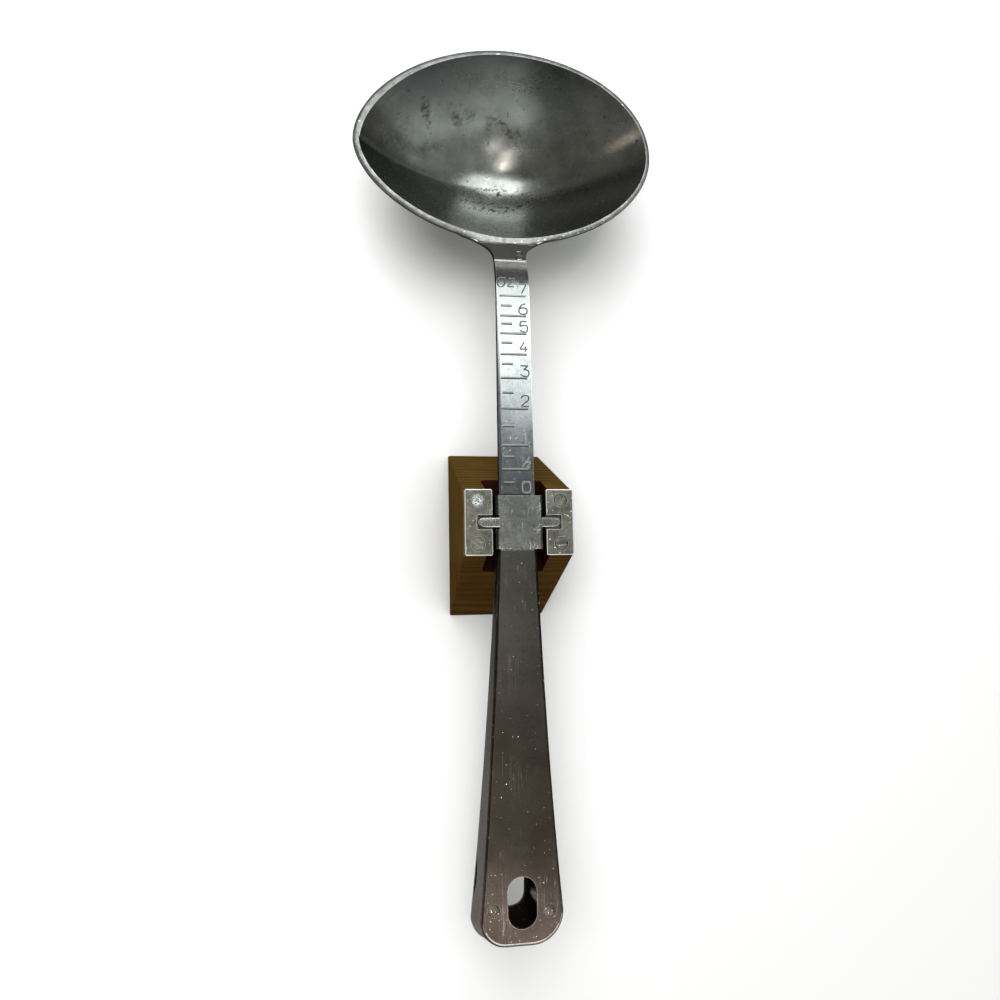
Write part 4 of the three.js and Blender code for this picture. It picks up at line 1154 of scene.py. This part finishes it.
def tongue(sign, flat):
    # flat on top with bevelled long edges, a knife edge below and a round tip
    half, drop = sleeve["tongueWidth"] / 2, sleeve["tongueBevel"]
    top, reach = sleeveHigh.z, sleeveHigh.x
    start = flat - 1.0
    section = [(0, top - sleeve["sheet"]), (half, top - drop / 2), (half - drop, top), (drop - half, top),
               (-half, top - drop / 2)]
    bm = slab([(sign * start, y, z) for y, z in section], (sign * (reach - start), 0, 0))
    bar = asObject("tongue", bm, sleeveMetal)
    tip = [(reach - sleeve["tipLength"] * (1 - x), half * y) for x, y in arc((0, 0), 1, -90, 90, 16)]
    plan = [(start, -half)] + tip + [(start, half)]
    trim = slab(atLevel([(sign * x, y) for x, y in plan], top - overcut), (0, 0, 2 * overcut))
    carve(bar, [asObject("tip", trim, sleeveMetal)], "INTERSECT")
    return bar


finishPiece(sleeveBody(), "slider", "sleeve_steel", "slider_sleeve")
print("sleeve ready")


# solids that stay as they are, hidden inside

for node, metal in (("slider_spring", springMetal), ("balance_weight", ironMetal)):
    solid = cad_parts[node]
    solid.data.materials.clear()
    solid.data.materials.append(metal)


# floor, light and camera

stage = {
    "floorRadius": 3.0, "floorReach": 0.035, "floorShade": 0.55, "floorGlow": 0.08,
    "floorColour": (0.74, 0.74, 0.74), "floorDark": (0.02, 0.02, 0.02), "aim": (0, 0.05, 0.06),
    "skyDark": (0.05, 0.05, 0.048), "skyFront": (0.5, 0.53, 0.5), "skyLeft": (0.2, 0.195, 0.175),
    "skyBack": (0.2, 0.205, 0.2), "skyTop": (0.17, 0.175, 0.17), "frontTowards": (0.72, -0.62, 0.32),
    "leftTowards": (-0.85, -0.2, 0.5), "backTowards": (0.15, 0.97, 0.15)}
lamps = {
    # place, size, power and colour
    "main softbox": ((0.14, 0.55, 1.1), (0.9, 0.5), 5.6, (0.96, 1.0, 1.0)),
    "softbox edge": ((0.14, 0.86, 1.1), (0.9, 0.12), 0.55, (0.96, 1.0, 1.0)),
    "back panel": ((0.1, 1.1, 0.56), (0.6, 0.16), 0.25, (1.0, 1.0, 0.98)),
    "softbox strip": ((-0.03, -0.25, 0.95), (0.07, 0.6), 1.35, (1.0, 0.92, 0.82)),
    "end softbox": ((0.2, -0.75, 0.95), (0.3, 0.3), 0.75, (1.0, 0.92, 0.86)),
    "left lamp": ((-1.0, 0.12, 0.25), (0.16, 0.08), 0.1, (1.0, 0.84, 0.66)),
    "right lamp": ((1.0, 0.3, 0.35), (0.3, 0.12), 0.1, (0.95, 1.0, 0.97)),
    "overhead fill": ((-0.24, 0.25, 1.35), (0.9, 0.9), 20.2, (1.0, 1.0, 1.0)),
    "far fill": ((-0.25, 1.05, 1.15), (0.9, 0.6), 8.0, (1.0, 1.0, 1.0))}


def floorFinish():
    material, tree, shader = startMaterial("pale floor")
    # painted contact shadow: darker where something stands close above it
    near = addNode(tree, "ShaderNodeAmbientOcclusion", {"Distance": stage["floorReach"]}, samples=8)
    clear = combine(tree, "POWER", near.outputs["AO"], stage["floorShade"])
    tree.links.new(tint(tree, clear, stage["floorDark"], stage["floorColour"]), shader.inputs["Base Color"])
    shader.inputs["Roughness"].default_value = 1.0
    shader.inputs["Specular IOR Level"].default_value = 0.0
    shader.inputs["Emission Color"].default_value = (1, 1, 1, 1)
    tree.links.new(combine(tree, "MULTIPLY", clear, stage["floorGlow"]), shader.inputs["Emission Strength"])
    return material


def addFloor():
    bm = bmesh.new()
    bmesh.ops.create_circle(bm, cap_ends=True, segments=64, radius=stage["floorRadius"] / mm)
    floor = asObject("floor", bm, floorFinish())


def addLamp(name, spot, size, power, colour):
    lamp = bpy.data.lights.new(name, "AREA")
    lamp.energy = power
    lamp.color = colour
    lamp.shape = "RECTANGLE"
    lamp.size, lamp.size_y = size
    lampObject = bpy.data.objects.new(name, lamp)
    lampObject.location = spot
    lampObject.rotation_euler = (Vector(stage["aim"]) - Vector(spot)).to_track_quat("-Z", "Y").to_euler()
    lampObject.visible_glossy = "fill" not in name    # the fills give no mirror image
    lampObject.visible_diffuse = "softbox" not in name    # the softboxes give only that
    bpy.context.scene.collection.objects.link(lampObject)


def addSky():
    # soft room light, brighter towards one side
    world = bpy.data.worlds.new("room")
    bpy.context.scene.world = world
    world.use_nodes = True
    tree = world.node_tree
    towards = addNode(tree, "ShaderNodeTexCoord").outputs["Generated"]
    height = alongAxis(tree, towards, "Z")
    colour = tint(tree, ranged(tree, height, 0.6, 0.97), stage["skyDark"], stage["skyTop"])
    for side in ("Left", "Back", "Front"):
        middle = Vector(stage[side.lower() + "Towards"]).normalized()
        facing = ranged(tree, vectorMath(tree, "DOT_PRODUCT", towards, middle), 0.1, 0.95)
        colour = tint(tree, facing, colour, stage["sky" + side])
    background = tree.nodes["Background"]
    tree.links.new(colour, background.inputs["Color"])
    background.inputs["Strength"].default_value = 1.0


view = {
    "spot": (-0.0714, -0.0283, 0.4202), "turn": (0.106, -0.175, -0.018), "lens": 32.4, "sensor": 36.0}


def addCamera():
    camera = bpy.data.cameras.new("view from above")
    camera.lens = view["lens"]
    camera.sensor_width = view["sensor"]
    camera.clip_start = 0.01
    cameraObject = bpy.data.objects.new("view from above", camera)
    cameraObject.location = view["spot"]
    cameraObject.rotation_euler = view["turn"]
    bpy.context.scene.collection.objects.link(cameraObject)
    bpy.context.scene.camera = cameraObject


addFloor()
addSky()
for name, setting in lamps.items():
    addLamp(name, *setting)
addCamera()
bpy.context.scene.view_settings.view_transform = "Standard"
print("stage ready")
